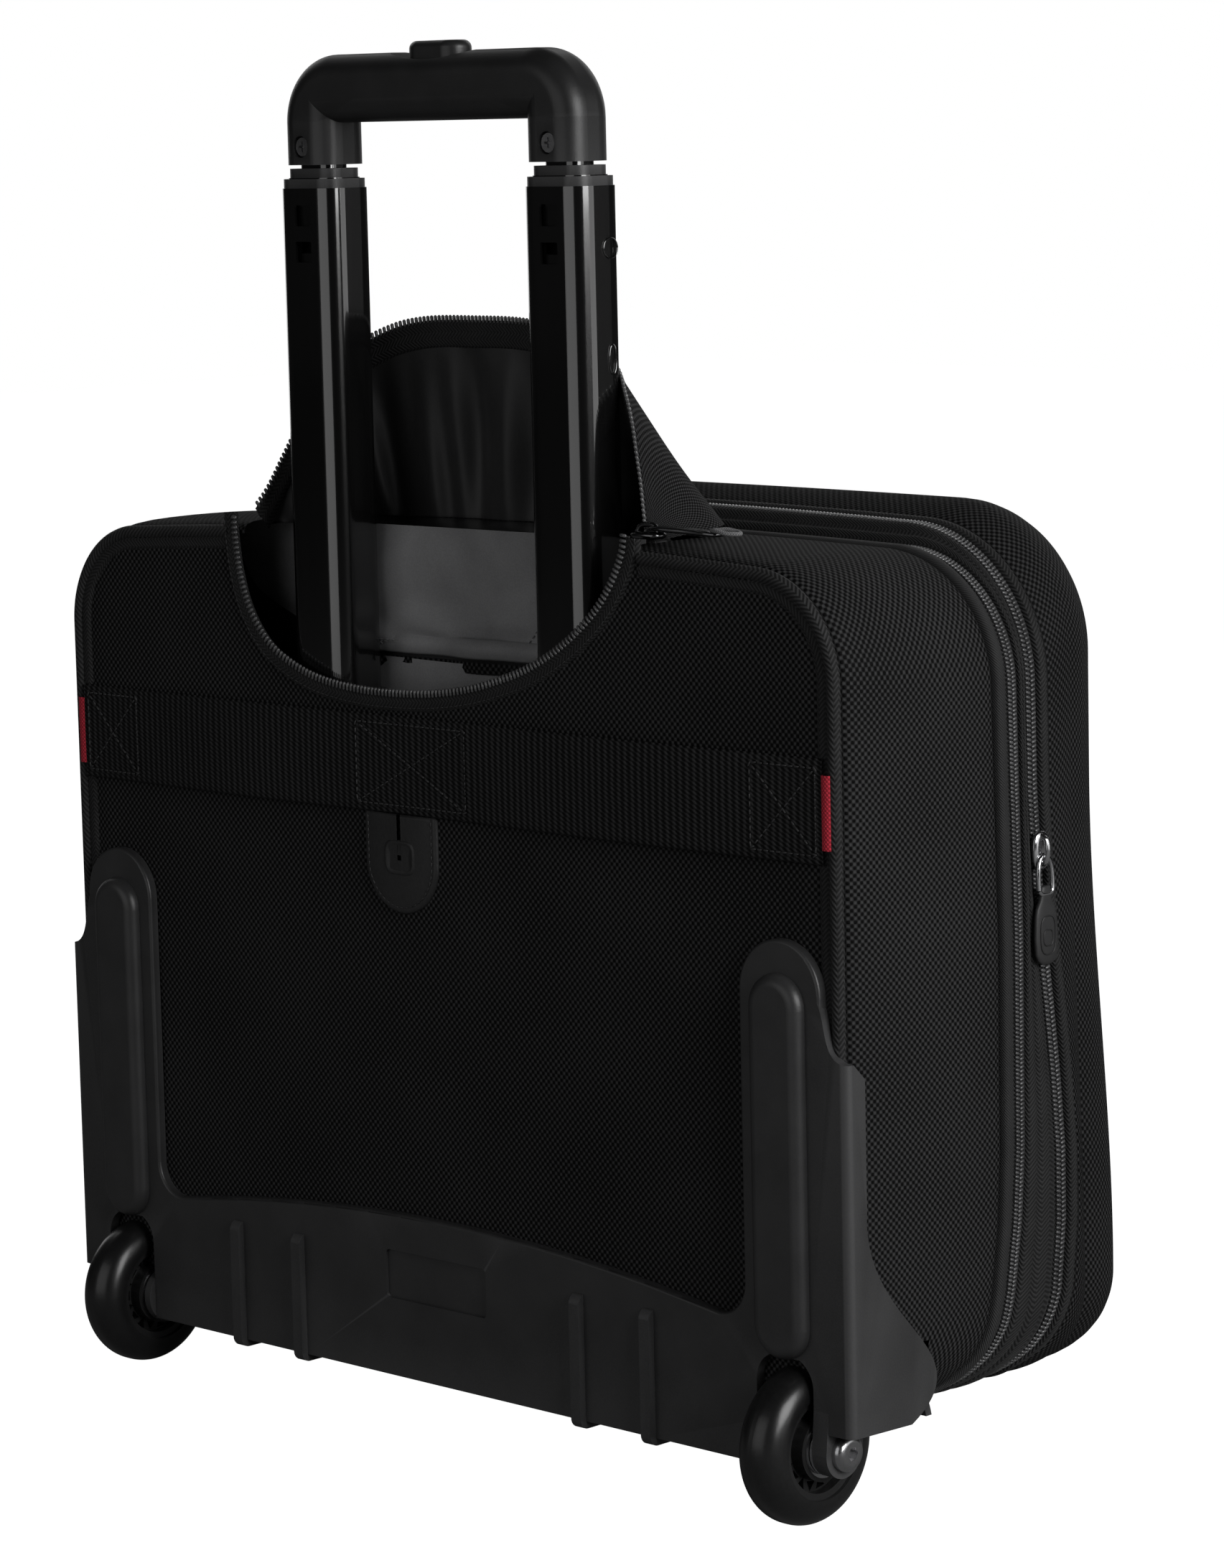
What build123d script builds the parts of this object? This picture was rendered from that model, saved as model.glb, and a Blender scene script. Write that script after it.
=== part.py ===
from build123d import *
import os

# Rolling laptop case: a soft, zipped case on a moulded wheel base, with a two-legged pull handle
# that telescopes out of a U-shaped mouth in the back and top of the case.
# +Z is up and the floor is z = 0. The back of the case, with wheels and handle, faces -Y.
# The origin is on the floor, under the middle of the whole case.

os.makedirs("parts", exist_ok=True)

# ---- Overall sizes (mm) ----
case_width = 430.0            # over the side wings of the wheel base
case_depth = 183.0            # back plane to the front of the front section
case_floor = 38.0             # underside of the fabric case above the floor
back_top = 354.0              # top edge of the back panel
front_top = 362.0             # top of the front section
fabric = 2.5                  # thickness of a lined fabric wall
panel_thickness = 1.8
section_inset = 2.0           # fabric sides stand this far inside the width over the wings
front_inset = 4.5             # and the front sections this far

# ---- Wheels ----
wheel_radius = 30.0
wheel_width = 20.0
wheel_x = 184.5
wheel_inset = 2.4             # axle line in front of the back plane
rim_radius = 19.7
window_count = 9              # pairs of triangular windows in each wheel core
web_thickness = 9.0
bearing_radius = 11.0
bearing_width = 7.0
axle_radius = 3.97
bearing_bore = 4.0
bearing_gap = 7.0             # between the two bearings of a wheel
axle_head_radius = 7.0
axle_head_height = 4.2
nut_radius = 7.4
nut_height = 6.4
wheel_gap = 0.3               # wheel to washer, each side
washer_thickness = 1.4
washer_radius = 9.5

# ---- Wheel base moulding ----
base_bottom = 21.5
base_side_top = 75.0
base_middle_top = 87.0
base_shoulder_x = 150.0
plate_thickness = 3.9
upright_x = 183.0
upright_width = 39.0
upright_top = 217.0
ridge_width = 25.0
ridge_height = 5.0
wing_top = 174.5
wing_thickness = 2.0
corner_round = 3.4
plate_fillet = 13.0            # inner corners between back plate and uprights
ridge_bottom = 63.0
ridge_crown = 12.0             # ridge stops this far below the top of the upright
label_size = (56.0, 19.4)
label_height = 62.4            # middle of the label recess above the floor
label_depth = 1.2
cheek_thickness = 5.0
well_clearance = 4.5
arch_top = 64.5
roof_thickness = 3.0
fork_thickness = 7.0
fork_boss_radius = 9.8
skid_width = 5.0
skid_height = 3.0
skid_top = 71.0
skid_positions = (78.2, 114.8)
rib_positions = (-114.8, -60.0, 0.0, 60.0, 114.8)
rib_thickness = 3.0
skirt_depth = 20.0
skirt_thickness = 3.0
tray_thickness = 3.5
tray_depth = 60.0

# ---- Pull handle ----
tube_x = 67.3
tube_y = 14.7                 # centre line in front of the back plane
sleeve_size = (36.0, 28.0, 9.0)
stage_1_size = (32.0, 24.0, 8.0)
stage_2_size = (27.5, 19.5, 6.5)
stage_3_size = (18.0, 12.5, 4.5)
tube_wall = 1.2
slide_fit = 0.08              # collar bore to the tube that runs in it, each side
foot_fit = 0.1                # tube foot to the tube it runs in, each side
sleeve_bottom = 46.0
sleeve_top = 285.0
stage_1_bottom = 240.0
stage_1_top = 485.0
stage_1_foot = 4.0
stage_2_bottom = 283.0
stage_2_foot = 36.0
stage_3_bottom = 319.0
stage_3_foot = 30.0
collar_height = 3.6
collar_spigot = 6.0
foot_spigot = 5.0
window_size = (9.0, 8.0)
window_heights = (460.5, 474.5)
stage_2_travel = 195.0
stage_3_travel = 160.0

grip_bottom = 510.0
grip_top = 536.0
grip_half_width = 80.0
grip_depth = 24.0
grip_round = 9.0
leg_inner_x = 52.7
leg_bottom = 494.0
leg_socket_top = 507.0
grip_wall = 2.5
seam_middle = 519.0
seam_side = 510.5
button_size = (28.0, 14.0)
button_top = 540.0
button_travel = 4.0
yoke_bottom = 520.0
yoke_thickness = 4.0
rod_radius = 1.5

# ---- Fabric details on the back ----
strap_bottom = 245.0
strap_height = 38.5
strap_half = 203.5
strap_thickness = 1.8
tab_x = -16.0
tab_width = 40.0
tab_bottom = 206.0
mouth_half_width = 106.0
mouth_bottom = 291.0
mouth_depth = 40.0
zip_tape = 6.0
flap_top = 434.0
flap_thickness = 3.0
flap_depth = 44.0
board_y = 32.6                  # front face of the stiffening board behind the handle
board_thickness = 2.0
floor_board = 2.4
divider_y = 62.0
divider_thickness = 6.0
divider_height = 260.0
lining_y = 28.6
lining_thickness = 0.8
brace_height = 262.0
brace_width = 20.0
brace_thickness = 1.6

# ---- Zipped sections, front to back positions from the back plane ----
main_front = 86.0
chain_width = 6.0
coil_depth = 3.5
middle_front = 100.0
front_back = 106.0
chain_rise = 2.0                # each band stands this much higher than the back panel
middle_rise = 5.0
front_chain_rise = 6.0
top_corner = 46.0
front_top_corner = 58.0
bottom_corner = 36.0
front_round = 42.0

# ---- Places worked out from the sizes above ----
back_y = (wheel_radius - wheel_inset - case_depth) / 2
axle_y = back_y + wheel_inset
axle_z = wheel_radius
trolley_y = back_y + tube_y
half_width = case_width / 2
fabric_half = half_width - section_inset
front_half = half_width - front_inset
plate_back = back_y - panel_thickness - 0.3 - plate_thickness
well_radius = wheel_radius + well_clearance
roof_radius = well_radius + roof_thickness
outer_face_x = wheel_x + bearing_width + bearing_gap / 2
fork_inner_x = outer_face_x + wheel_gap + washer_thickness
cheek_outer_x = 2 * wheel_x - fork_inner_x - 3.3
spigot_inner_x = 2 * wheel_x - fork_inner_x


def facing_back(y):
    """Sketch plane across the case: local x is X, local y is Z, and it extrudes towards -Y."""
    return Plane(origin=(0, y, 0), x_dir=(1, 0, 0), z_dir=(0, -1, 0))


def facing_side(x):
    """Sketch plane along the case: local x is Y, local y is Z, and it extrudes towards +X."""
    return Plane(origin=(x, 0, 0), x_dir=(0, 1, 0), z_dir=(1, 0, 0))


def level(z):
    return Plane.XY.offset(z)


def save(piece, name):
    piece.part.label = name
    export_step(piece.part, f"parts/{name}.step")


def outline_sketch(plane, half, bottom, top, inset=0.0, top_radius=top_corner):
    """The case outline seen from behind, on a plane, with its two corner radii."""
    with BuildSketch(plane) as sketch:
        with Locations((0, (top + bottom) / 2)):
            Rectangle(2 * (half - inset), top - bottom - 2 * inset)
        low = sketch.vertices().sort_by(Axis.Y)[:2]
        fillet(low, bottom_corner - inset)
        high = sketch.vertices().sort_by(Axis.Y)[-2:]
        fillet(high, top_radius - inset)
    return sketch.sketch


def ring(y_from, y_to, half, bottom, top, wall):
    """A band of the case wall between two planes, open inside."""
    outer = outline_sketch(facing_back(y_to), half, bottom, top)
    inner = outline_sketch(facing_back(y_to), half, bottom, top, wall)
    extrude(outer, amount=y_to - y_from)
    extrude(inner, amount=y_to - y_from, mode=Mode.SUBTRACT)


def cut_wheel_wells():
    """Clears the two back lower corners for the wheel wells, in the part that is open."""
    clear = roof_radius + 1.0
    inner_x = cheek_outer_x - cheek_thickness - 8.0
    for side in (-1, 1):
        middle = side * (inner_x + half_width + 5) / 2
        width = half_width + 5 - inner_x
        with BuildSketch(facing_side(middle)) as well:
            with Locations((axle_y, axle_z)):
                Circle(clear)
            with Locations((axle_y, axle_z - clear)):
                Rectangle(2 * clear, 2 * clear)
            with Locations((axle_y - clear, axle_z)):
                Rectangle(2 * clear, 2 * clear)
        extrude(well.sketch, amount=width / 2, both=True, mode=Mode.SUBTRACT)


# ---------------------------------------------------------------- wheels
for side, word in ((-1, "left"), (1, "right")):
    centre = facing_side(side * wheel_x)
    with BuildPart() as tyre:
        with BuildSketch(centre):
            with Locations((axle_y, axle_z)):
                Circle(wheel_radius)
                Circle(rim_radius, mode=Mode.SUBTRACT)
        extrude(amount=wheel_width / 2, both=True)
        rims = tyre.edges().filter_by(GeomType.CIRCLE).sort_by(SortBy.RADIUS)
        fillet(rims[-2:], wheel_width / 2 - 1.0)
    save(tyre, f"{word}_tyre")

    with BuildPart() as core:
        with BuildSketch(centre):
            with Locations((axle_y, axle_z)):
                Circle(rim_radius)
                Circle(rim_radius - 2.6, mode=Mode.SUBTRACT)
        extrude(amount=wheel_width / 2 - 1.5, both=True)
        with BuildSketch(centre):
            with Locations((axle_y, axle_z)):
                Circle(rim_radius - 2.0)
                Circle(bearing_radius, mode=Mode.SUBTRACT)
                with PolarLocations(15.0, window_count):
                    RegularPolygon(2.7, 3, rotation=180, mode=Mode.SUBTRACT)
                with PolarLocations(14.4, window_count, start_angle=180 / window_count):
                    RegularPolygon(2.5, 3, mode=Mode.SUBTRACT)
        extrude(amount=web_thickness / 2, both=True)
        with BuildSketch(centre):
            with Locations((axle_y, axle_z)):
                Circle(bearing_radius + 1.0)
                Circle(bearing_radius - 2.0, mode=Mode.SUBTRACT)
        extrude(amount=bearing_gap / 2, both=True)
        with BuildSketch(centre):
            with Locations((axle_y, axle_z)):
                Circle(bearing_radius + 1.6)
                Circle(bearing_radius, mode=Mode.SUBTRACT)
        extrude(amount=bearing_width + 3.0, both=True)
    save(core, f"{word}_wheel_core")

    with BuildPart() as bearings:
        for end in (-1, 1):
            with BuildSketch(facing_side(side * wheel_x + end * (bearing_gap + bearing_width) / 2)):
                with Locations((axle_y, axle_z)):
                    Circle(bearing_radius)
                    Circle(bearing_bore, mode=Mode.SUBTRACT)
            extrude(amount=bearing_width / 2, both=True)
    save(bearings, f"{word}_bearings")

    with BuildPart() as bolt:
        inner_end = side * (cheek_outer_x - cheek_thickness - nut_height - 1)
        head_seat = side * (fork_inner_x + fork_thickness)
        with BuildSketch(facing_side(inner_end)):
            with Locations((axle_y, axle_z)):
                Circle(axle_radius)
        extrude(amount=head_seat - inner_end)
        with BuildSketch(facing_side(head_seat)):
            with Locations((axle_y, axle_z)):
                Circle(axle_head_radius)
        extrude(amount=side * axle_head_height)
        rim = bolt.faces().sort_by(Axis.X)[-1 if side > 0 else 0].edges()
        fillet(rim, axle_head_height - 1.4)
        with BuildSketch(facing_side(head_seat + side * axle_head_height)):
            with Locations((axle_y, axle_z)):
                RegularPolygon(2.6, 6)
        extrude(amount=-side * 2.6, mode=Mode.SUBTRACT)
    save(bolt, f"{word}_axle_bolt")

with BuildPart() as washers:
    for side in (-1, 1):
        for start in (spigot_inner_x, outer_face_x + wheel_gap):
            with BuildSketch(facing_side(side * start)):
                with Locations((axle_y, axle_z)):
                    Circle(washer_radius)
                    Circle(axle_radius + 0.05, mode=Mode.SUBTRACT)
            extrude(amount=side * washer_thickness)
save(washers, "axle_washers")

with BuildPart() as nuts:
    for side in (-1, 1):
        with BuildSketch(facing_side(side * (cheek_outer_x - cheek_thickness))):
            with Locations((axle_y, axle_z)):
                RegularPolygon(nut_radius, 6)
                Circle(axle_radius, mode=Mode.SUBTRACT)
        extrude(amount=-side * nut_height)
save(nuts, "axle_nuts")

# ---------------------------------------------------------------- wheel base moulding
screw_positions = [(x, trolley_y) for x in (-86.0, -48.0, 48.0, 86.0)]
bracket_screw_radius = 2.5

with BuildPart() as base_frame:
    # back plate with its arched top edge, the two uprights and the stepped shoulders
    with BuildSketch(facing_back(plate_back + plate_thickness)) as back_outline:
        with BuildLine():
            ends = Polyline(
                (-base_shoulder_x, base_side_top),
                (-half_width + wing_thickness, base_side_top),
                (-half_width + wing_thickness, base_bottom),
                (half_width - wing_thickness, base_bottom),
                (half_width - wing_thickness, base_side_top),
                (base_shoulder_x, base_side_top),
            )
            ThreePointArc(ends @ 1, (0, base_middle_top), ends @ 0)
        make_face()
        for side in (-1, 1):
            body_height = upright_top - upright_width / 2 - base_bottom
            with Locations((side * upright_x, base_bottom + body_height / 2)):
                Rectangle(upright_width, body_height)
            with Locations((side * upright_x, upright_top - upright_width / 2)):
                Circle(upright_width / 2)
            with BuildLine():
                inner = side * (upright_x + 6)
                outer = side * half_width
                shoulder = Polyline((outer, wing_top), (outer, 40), (inner, 40), (inner, 200))
                Spline(
                    shoulder @ 1,
                    (side * (upright_x + upright_width / 2), 194),
                    (side * (half_width - 7), wing_top + 3),
                    shoulder @ 0,
                )
            make_face()
        upright_inner_x = upright_x - upright_width / 2
        inner_corners = back_outline.vertices().filter_by(
            lambda v: abs(abs(v.X) - upright_inner_x) < 0.2 and abs(v.Y - base_side_top) < 0.2
        )
        fillet(inner_corners, plate_fillet)
        for side in (-1, 1):
            # below the wing the plate ends at the inner cheek and the fork leg
            with Locations((side * (half_width + cheek_outer_x) / 2, base_bottom)):
                Rectangle(half_width - cheek_outer_x, 2 * (case_floor - base_bottom), mode=Mode.SUBTRACT)
            arch_width = fork_inner_x - cheek_outer_x
            with Locations((side * (fork_inner_x + cheek_outer_x) / 2, arch_top - well_radius)):
                RectangleRounded(arch_width, 2 * well_radius, arch_width / 2 - 2.5, mode=Mode.SUBTRACT)
    extrude(amount=plate_thickness)
    plate_rear = base_frame.faces().sort_by(Axis.Y)[0]
    plate_rim = plate_rear.edges().filter_by(
        lambda e: e.length > 30 and abs(e.center().X) < half_width - 0.1
    )
    fillet(plate_rim, 1.2)

    nut_pockets = []
    for side in (-1, 1):
        # rounded ridge up the middle of each upright
        ridge_length = upright_top - ridge_crown - ridge_bottom
        with BuildSketch(facing_back(plate_back)):
            with Locations((side * upright_x, ridge_bottom + ridge_length / 2)):
                SlotOverall(ridge_length, ridge_width, rotation=90)
        extrude(amount=ridge_height)
        top_face = base_frame.faces().filter_by(Axis.Y).sort_by(Axis.Y)[0]
        fillet(top_face.edges(), ridge_height - 0.6)

        # side wing that wraps round the lower corner
        with BuildSketch(facing_side(side * half_width)):
            with BuildLine():
                side_run = Polyline(
                    (back_y + 4, 120),
                    (back_y + 4, wing_top - 6),
                    (back_y - 2, wing_top),
                    (plate_back, wing_top),
                    (plate_back, case_floor),
                    (back_y + 27, case_floor - 1),
                )
                Spline(
                    side_run @ 1,
                    (back_y + 41, 54),
                    (back_y + 27, 74),
                    (back_y + 9, 97),
                    side_run @ 0,
                )
            make_face()
        extrude(amount=-side * wing_thickness)

        # inner cheek, roof of the wheel well and fork leg with its boss
        cheek_inner = cheek_outer_x - cheek_thickness
        with BuildSketch(facing_side(side * cheek_inner)):
            with Locations((axle_y, axle_z)):
                Circle(roof_radius)
            with Locations((axle_y, base_bottom - roof_radius)):
                Rectangle(3 * roof_radius, 2 * roof_radius, mode=Mode.SUBTRACT)
            with Locations((plate_back - roof_radius, axle_z)):
                Rectangle(2 * roof_radius, 3 * roof_radius, mode=Mode.SUBTRACT)
        extrude(amount=side * cheek_thickness)
        with BuildSketch(facing_side(side * cheek_outer_x)):
            with Locations((axle_y, axle_z)):
                Circle(washer_radius + 2)
        extrude(amount=side * (spigot_inner_x - cheek_outer_x))
        with BuildSketch(facing_side(side * cheek_inner)):
            with Locations((axle_y, axle_z)):
                Circle(roof_radius)
                Circle(well_radius, mode=Mode.SUBTRACT)
            with Locations((axle_y, case_floor - roof_radius)):
                Rectangle(3 * roof_radius, 2 * roof_radius, mode=Mode.SUBTRACT)
            with Locations((plate_back - roof_radius, axle_z)):
                Rectangle(2 * roof_radius, 3 * roof_radius, mode=Mode.SUBTRACT)
        extrude(amount=side * (half_width - cheek_inner - 1))
        with BuildSketch(facing_side(side * fork_inner_x)):
            with BuildLine():
                leg_top = axle_z + well_radius * 0.92
                leg = Polyline(
                    (axle_y - fork_boss_radius, axle_z),
                    (plate_back, 46),
                    (plate_back, leg_top),
                    (axle_y + 15, leg_top),
                    (axle_y + fork_boss_radius, axle_z),
                )
                ThreePointArc(leg @ 1, (axle_y, axle_z - fork_boss_radius), leg @ 0)
            make_face()
        extrude(amount=side * fork_thickness)
        # web that closes the corner between the fork leg and the wing
        with BuildSketch(facing_side(side * (fork_inner_x + fork_thickness - 0.5))):
            with BuildLine():
                web = Polyline(
                    (plate_back, 46),
                    (plate_back, leg_top),
                    (axle_y + 22, leg_top),
                    (axle_y + 16, case_floor + 1),
                    (axle_y + 3, case_floor + 0.2),
                )
                TangentArc(web @ 1, web @ 0, tangent=(-1, 0.1))
            make_face()
        extrude(amount=side * (half_width - fork_inner_x - fork_thickness))
        with BuildSketch(facing_side(side * (cheek_inner - 1))):
            with Locations((axle_y, axle_z)):
                Circle(axle_radius)
        extrude(amount=side * (half_width - cheek_inner + 2), mode=Mode.SUBTRACT)
        nut_pockets.append((side * cheek_inner, -side * (nut_height + 1)))

        # skids over the back plate that wrap under its lower edge
        for x in skid_positions:
            with BuildSketch(facing_side(side * x)):
                with BuildLine():
                    skid_back = plate_back - skid_height
                    skid_low = base_bottom - skid_height
                    run = Polyline(
                        (plate_back + 0.5, skid_top),
                        (plate_back + 0.5, base_bottom + 0.5),
                        (back_y + 8, base_bottom + 0.5),
                        (back_y + 8, skid_low),
                        (skid_back + 4, skid_low),
                    )
                    corner = Line((skid_back, skid_low + 4), (skid_back, skid_top - 4))
                    RadiusArc(run @ 1, corner @ 0, 4)
                    RadiusArc(corner @ 1, run @ 0, 5)
                make_face()
            extrude(amount=skid_width / 2, both=True)

    # rounded upright corners where the back plate turns into the wings
    with BuildSketch(level(case_floor - 2)) as corners:
        for side in (-1, 1):
            with Locations((side * half_width, plate_back)):
                Rectangle(2 * corner_round, 2 * corner_round)
            with Locations((side * (half_width - corner_round), plate_back + corner_round)):
                Circle(corner_round, mode=Mode.SUBTRACT)
    extrude(amount=wing_top, mode=Mode.SUBTRACT)

    # skirt floor and the tray under the case
    tray_half = cheek_outer_x - cheek_thickness + 0.5
    with BuildSketch(level(base_bottom)):
        with Locations((0, (plate_back + back_y + skirt_depth) / 2)):
            Rectangle(2 * tray_half, back_y + skirt_depth - plate_back)
    extrude(amount=skirt_thickness)
    with BuildSketch(level(case_floor - tray_thickness)):
        with Locations((0, (plate_back + 1 + back_y + tray_depth) / 2)):
            Rectangle(2 * tray_half, back_y + tray_depth - plate_back - 1)
    extrude(amount=tray_thickness)
    for x in rib_positions:
        with BuildSketch(facing_side(x)):
            with BuildLine():
                Polyline(
                    (plate_back + 1, base_bottom + 1),
                    (back_y + skirt_depth, base_bottom + 1),
                    (back_y + 46, case_floor - 1),
                    (plate_back + 1, case_floor - 1),
                    close=True,
                )
            make_face()
        extrude(amount=rib_thickness / 2, both=True)
    # pockets for the axle nuts
    for pocket_x, pocket_depth in nut_pockets:
        with BuildSketch(facing_side(pocket_x)):
            with Locations((axle_y, axle_z)):
                Circle(nut_radius + 0.3)
        extrude(amount=pocket_depth, mode=Mode.SUBTRACT)
    # shallow label recess
    with BuildSketch(facing_back(plate_back + label_depth)):
        with Locations((0, label_height)):
            RectangleRounded(*label_size, 2)
    extrude(amount=label_depth + 2, mode=Mode.SUBTRACT)
    # holes for the bracket screws
    with BuildSketch(level(case_floor + 1)):
        with Locations(*screw_positions):
            Circle(bracket_screw_radius)
    extrude(amount=-tray_thickness - 2, mode=Mode.SUBTRACT)
save(base_frame, "base_frame")

# ---------------------------------------------------------------- fabric case
mouth_top_cut = back_y + mouth_depth

with BuildPart() as main_section:
    ring(back_y + 0.3, back_y + main_front, fabric_half, case_floor, back_top, fabric)
    cut_wheel_wells()
    with BuildSketch(level(back_top + 1)):
        with Locations((0, (back_y + mouth_top_cut) / 2)):
            Rectangle(2 * mouth_half_width, mouth_depth)
    extrude(amount=-2 * fabric, mode=Mode.SUBTRACT)
    with BuildSketch(level(case_floor - 1)):
        with Locations(*screw_positions):
            Circle(bracket_screw_radius)
    extrude(amount=fabric + 2, mode=Mode.SUBTRACT)
save(main_section, "main_section")


def mouth_outline(plane, grow=0.0):
    """U-shaped mouth in the back panel, grown all round, as a sketch on a plane."""
    half = mouth_half_width + grow
    low = mouth_bottom - grow
    with BuildSketch(plane) as sketch:
        with BuildLine():
            lid = Polyline((half, back_top), (half, back_top + 20), (-half, back_top + 20), (-half, back_top))
            sag = 0.72 * (back_top - low)
            reach = 0.58 * half
            Bezier(lid @ 0, (half, back_top - sag), (reach, low), (0, low))
            Bezier((0, low), (-reach, low), (-half, back_top - sag), lid @ 1)
        make_face()
    return sketch.sketch


with BuildPart() as back_panel:
    extrude(outline_sketch(facing_back(back_y), fabric_half, case_floor, back_top), amount=panel_thickness)
    cut_wheel_wells()
    extrude(mouth_outline(facing_back(back_y + 1)), amount=panel_thickness + 2, mode=Mode.SUBTRACT)
save(back_panel, "back_panel")

panel_face = back_y - panel_thickness
with BuildPart() as piping:
    rim_outer = outline_sketch(facing_back(back_y), half_width - 0.5, case_floor, back_top + 1.5)
    rim_inner = outline_sketch(facing_back(back_y), fabric_half, case_floor, back_top, 3.5)
    extrude(rim_outer, amount=panel_thickness + 2.6)
    extrude(rim_inner, amount=panel_thickness + 3, mode=Mode.SUBTRACT)
    extrude(
        outline_sketch(facing_back(back_y), fabric_half, case_floor, back_top),
        amount=panel_thickness,
        mode=Mode.SUBTRACT,
    )
    with BuildSketch(level(0)):
        Rectangle(2 * case_width, 2 * case_depth)
    extrude(amount=wing_top + 4, mode=Mode.SUBTRACT)
    clear_mouth = mouth_outline(facing_back(back_y + 1), zip_tape)
    extrude(clear_mouth, amount=panel_thickness + 8, mode=Mode.SUBTRACT)
save(piping, "back_piping")

with BuildPart() as main_chain:
    ring(back_y + main_front, back_y + main_front + chain_width, front_half, case_floor + 1, back_top + chain_rise, coil_depth)
save(main_chain, "main_zipper")

with BuildPart() as middle_section:
    ring(back_y + main_front + chain_width, back_y + middle_front, front_half, case_floor + 2, back_top + middle_rise, fabric)
save(middle_section, "middle_section")

with BuildPart() as front_chain:
    ring(back_y + middle_front, back_y + front_back, front_half, case_floor + 3, back_top + front_chain_rise, coil_depth)
save(front_chain, "front_zipper")


def front_block(inset):
    """Front section as a rounded block, drawn in the part that is open."""
    face = outline_sketch(
        facing_back(back_y + case_depth - inset), front_half, case_floor + 4, front_top, inset, front_top_corner
    )
    return extrude(face, amount=case_depth - inset - front_back)


with BuildPart() as front_inside:
    front_block(fabric)
    front_rim = front_inside.faces().sort_by(Axis.Y)[-1].edges()
    fillet(front_rim, min(front_round, top_corner, bottom_corner) - fabric - 2)

with BuildPart() as front_section:
    front_block(0)
    front_rim = front_section.faces().sort_by(Axis.Y)[-1].edges()
    fillet(front_rim, min(front_round, top_corner, bottom_corner) - 2)
    add(front_inside.part, mode=Mode.SUBTRACT)
save(front_section, "front_section")

with BuildPart() as back_board:
    board_outline = outline_sketch(
        facing_back(back_y + board_y), fabric_half, case_floor, back_top, fabric + 0.3
    )
    extrude(board_outline, amount=board_thickness)
    cut_wheel_wells()
save(back_board, "back_board")

with BuildPart() as bottom_board:
    with BuildSketch(level(case_floor + fabric)):
        with Locations((0, back_y + (board_y + main_front - 1) / 2)):
            Rectangle(2 * (fabric_half - bottom_corner - 2), main_front - board_y - 3)
    extrude(amount=floor_board)
    cut_wheel_wells()
save(bottom_board, "bottom_board")

with BuildPart() as divider:
    with BuildSketch(facing_back(back_y + divider_y)):
        with Locations((0, case_floor + fabric + floor_board + divider_height / 2)):
            RectangleRounded(2 * (fabric_half - 24), divider_height, 20)
    extrude(amount=divider_thickness)
    fillet(divider.edges().filter_by(lambda e: e.length > 150), 2)
save(divider, "laptop_divider")

with BuildPart() as lining:
    with BuildSketch(facing_back(back_y + lining_y)):
        with Locations((0, (sleeve_top + 6 + back_top - 4) / 2)):
            RectangleRounded(2 * mouth_half_width - 4, back_top - 4 - sleeve_top - 6, 6)
    extrude(amount=lining_thickness)
save(lining, "trolley_lining")

# ---------------------------------------------------------------- parts sewn on the back
with BuildPart() as strap:
    with BuildSketch(facing_back(panel_face)):
        with Locations((0, strap_bottom + strap_height / 2)):
            Rectangle(2 * strap_half, strap_height)
    extrude(amount=strap_thickness)
save(strap, "luggage_strap")

with BuildPart() as strap_ends:
    with BuildSketch(facing_back(panel_face)):
        for side in (-1, 1):
            with Locations((side * (strap_half + 2), strap_bottom + strap_height / 2)):
                Rectangle(4, 27)
    extrude(amount=strap_thickness + 0.5)
save(strap_ends, "strap_end_tabs")

with BuildPart() as leather_tab:
    with BuildSketch(facing_back(panel_face)):
        with BuildLine():
            radius = tab_width / 2
            edge = Polyline(
                (tab_x - radius, tab_bottom + radius),
                (tab_x - radius, strap_bottom),
                (tab_x + radius, strap_bottom),
                (tab_x + radius, tab_bottom + radius),
            )
            ThreePointArc(edge @ 1, (tab_x, tab_bottom), edge @ 0)
        make_face()
    extrude(amount=2.0)
save(leather_tab, "leather_tab")

with BuildPart() as scoop_chain:
    extrude(mouth_outline(facing_back(panel_face), zip_tape - 0.5), amount=1.0)
    extrude(mouth_outline(facing_back(panel_face)), amount=1.0, mode=Mode.SUBTRACT)
    with BuildSketch(level(back_top)):
        Rectangle(case_width, 2 * case_depth)
    extrude(amount=50, mode=Mode.SUBTRACT)
save(scoop_chain, "scoop_zipper")


flap_reach = mouth_half_width - 2
with BuildPart() as flap:
    # a standing wall, bowed towards the front of the case
    with BuildSketch(level(back_top + 3)):
        with BuildLine():
            inside, outside = [
                Spline(
                    (-flap_reach - skin, back_y + flap_depth - 28),
                    (-flap_reach * 0.82, back_y + flap_depth - 11 + skin),
                    (0, back_y + flap_depth + skin),
                    (flap_reach * 0.82, back_y + flap_depth - 11 + skin),
                    (flap_reach + skin, back_y + flap_depth - 28),
                )
                for skin in (0, flap_thickness)
            ]
            Line(inside @ 0, outside @ 0)
            Line(inside @ 1, outside @ 1)
        make_face()
    extrude(amount=flap_top - back_top)
    # cut to the rounded outline of the mouth that it closes
    with BuildSketch(facing_back(back_y + flap_depth + 20)):
        with BuildLine():
            reach = flap_reach + flap_thickness
            foot = Line((-reach, back_top), (reach, back_top))
            Spline(
                foot @ 1,
                (reach * 0.86, back_top + 36),
                (reach * 0.62, flap_top - 12),
                (0, flap_top),
                (-reach * 0.62, flap_top - 12),
                (-reach * 0.86, back_top + 36),
                foot @ 0,
            )
        make_face()
    extrude(amount=100, mode=Mode.INTERSECT)
save(flap, "mouth_flap")

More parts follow.
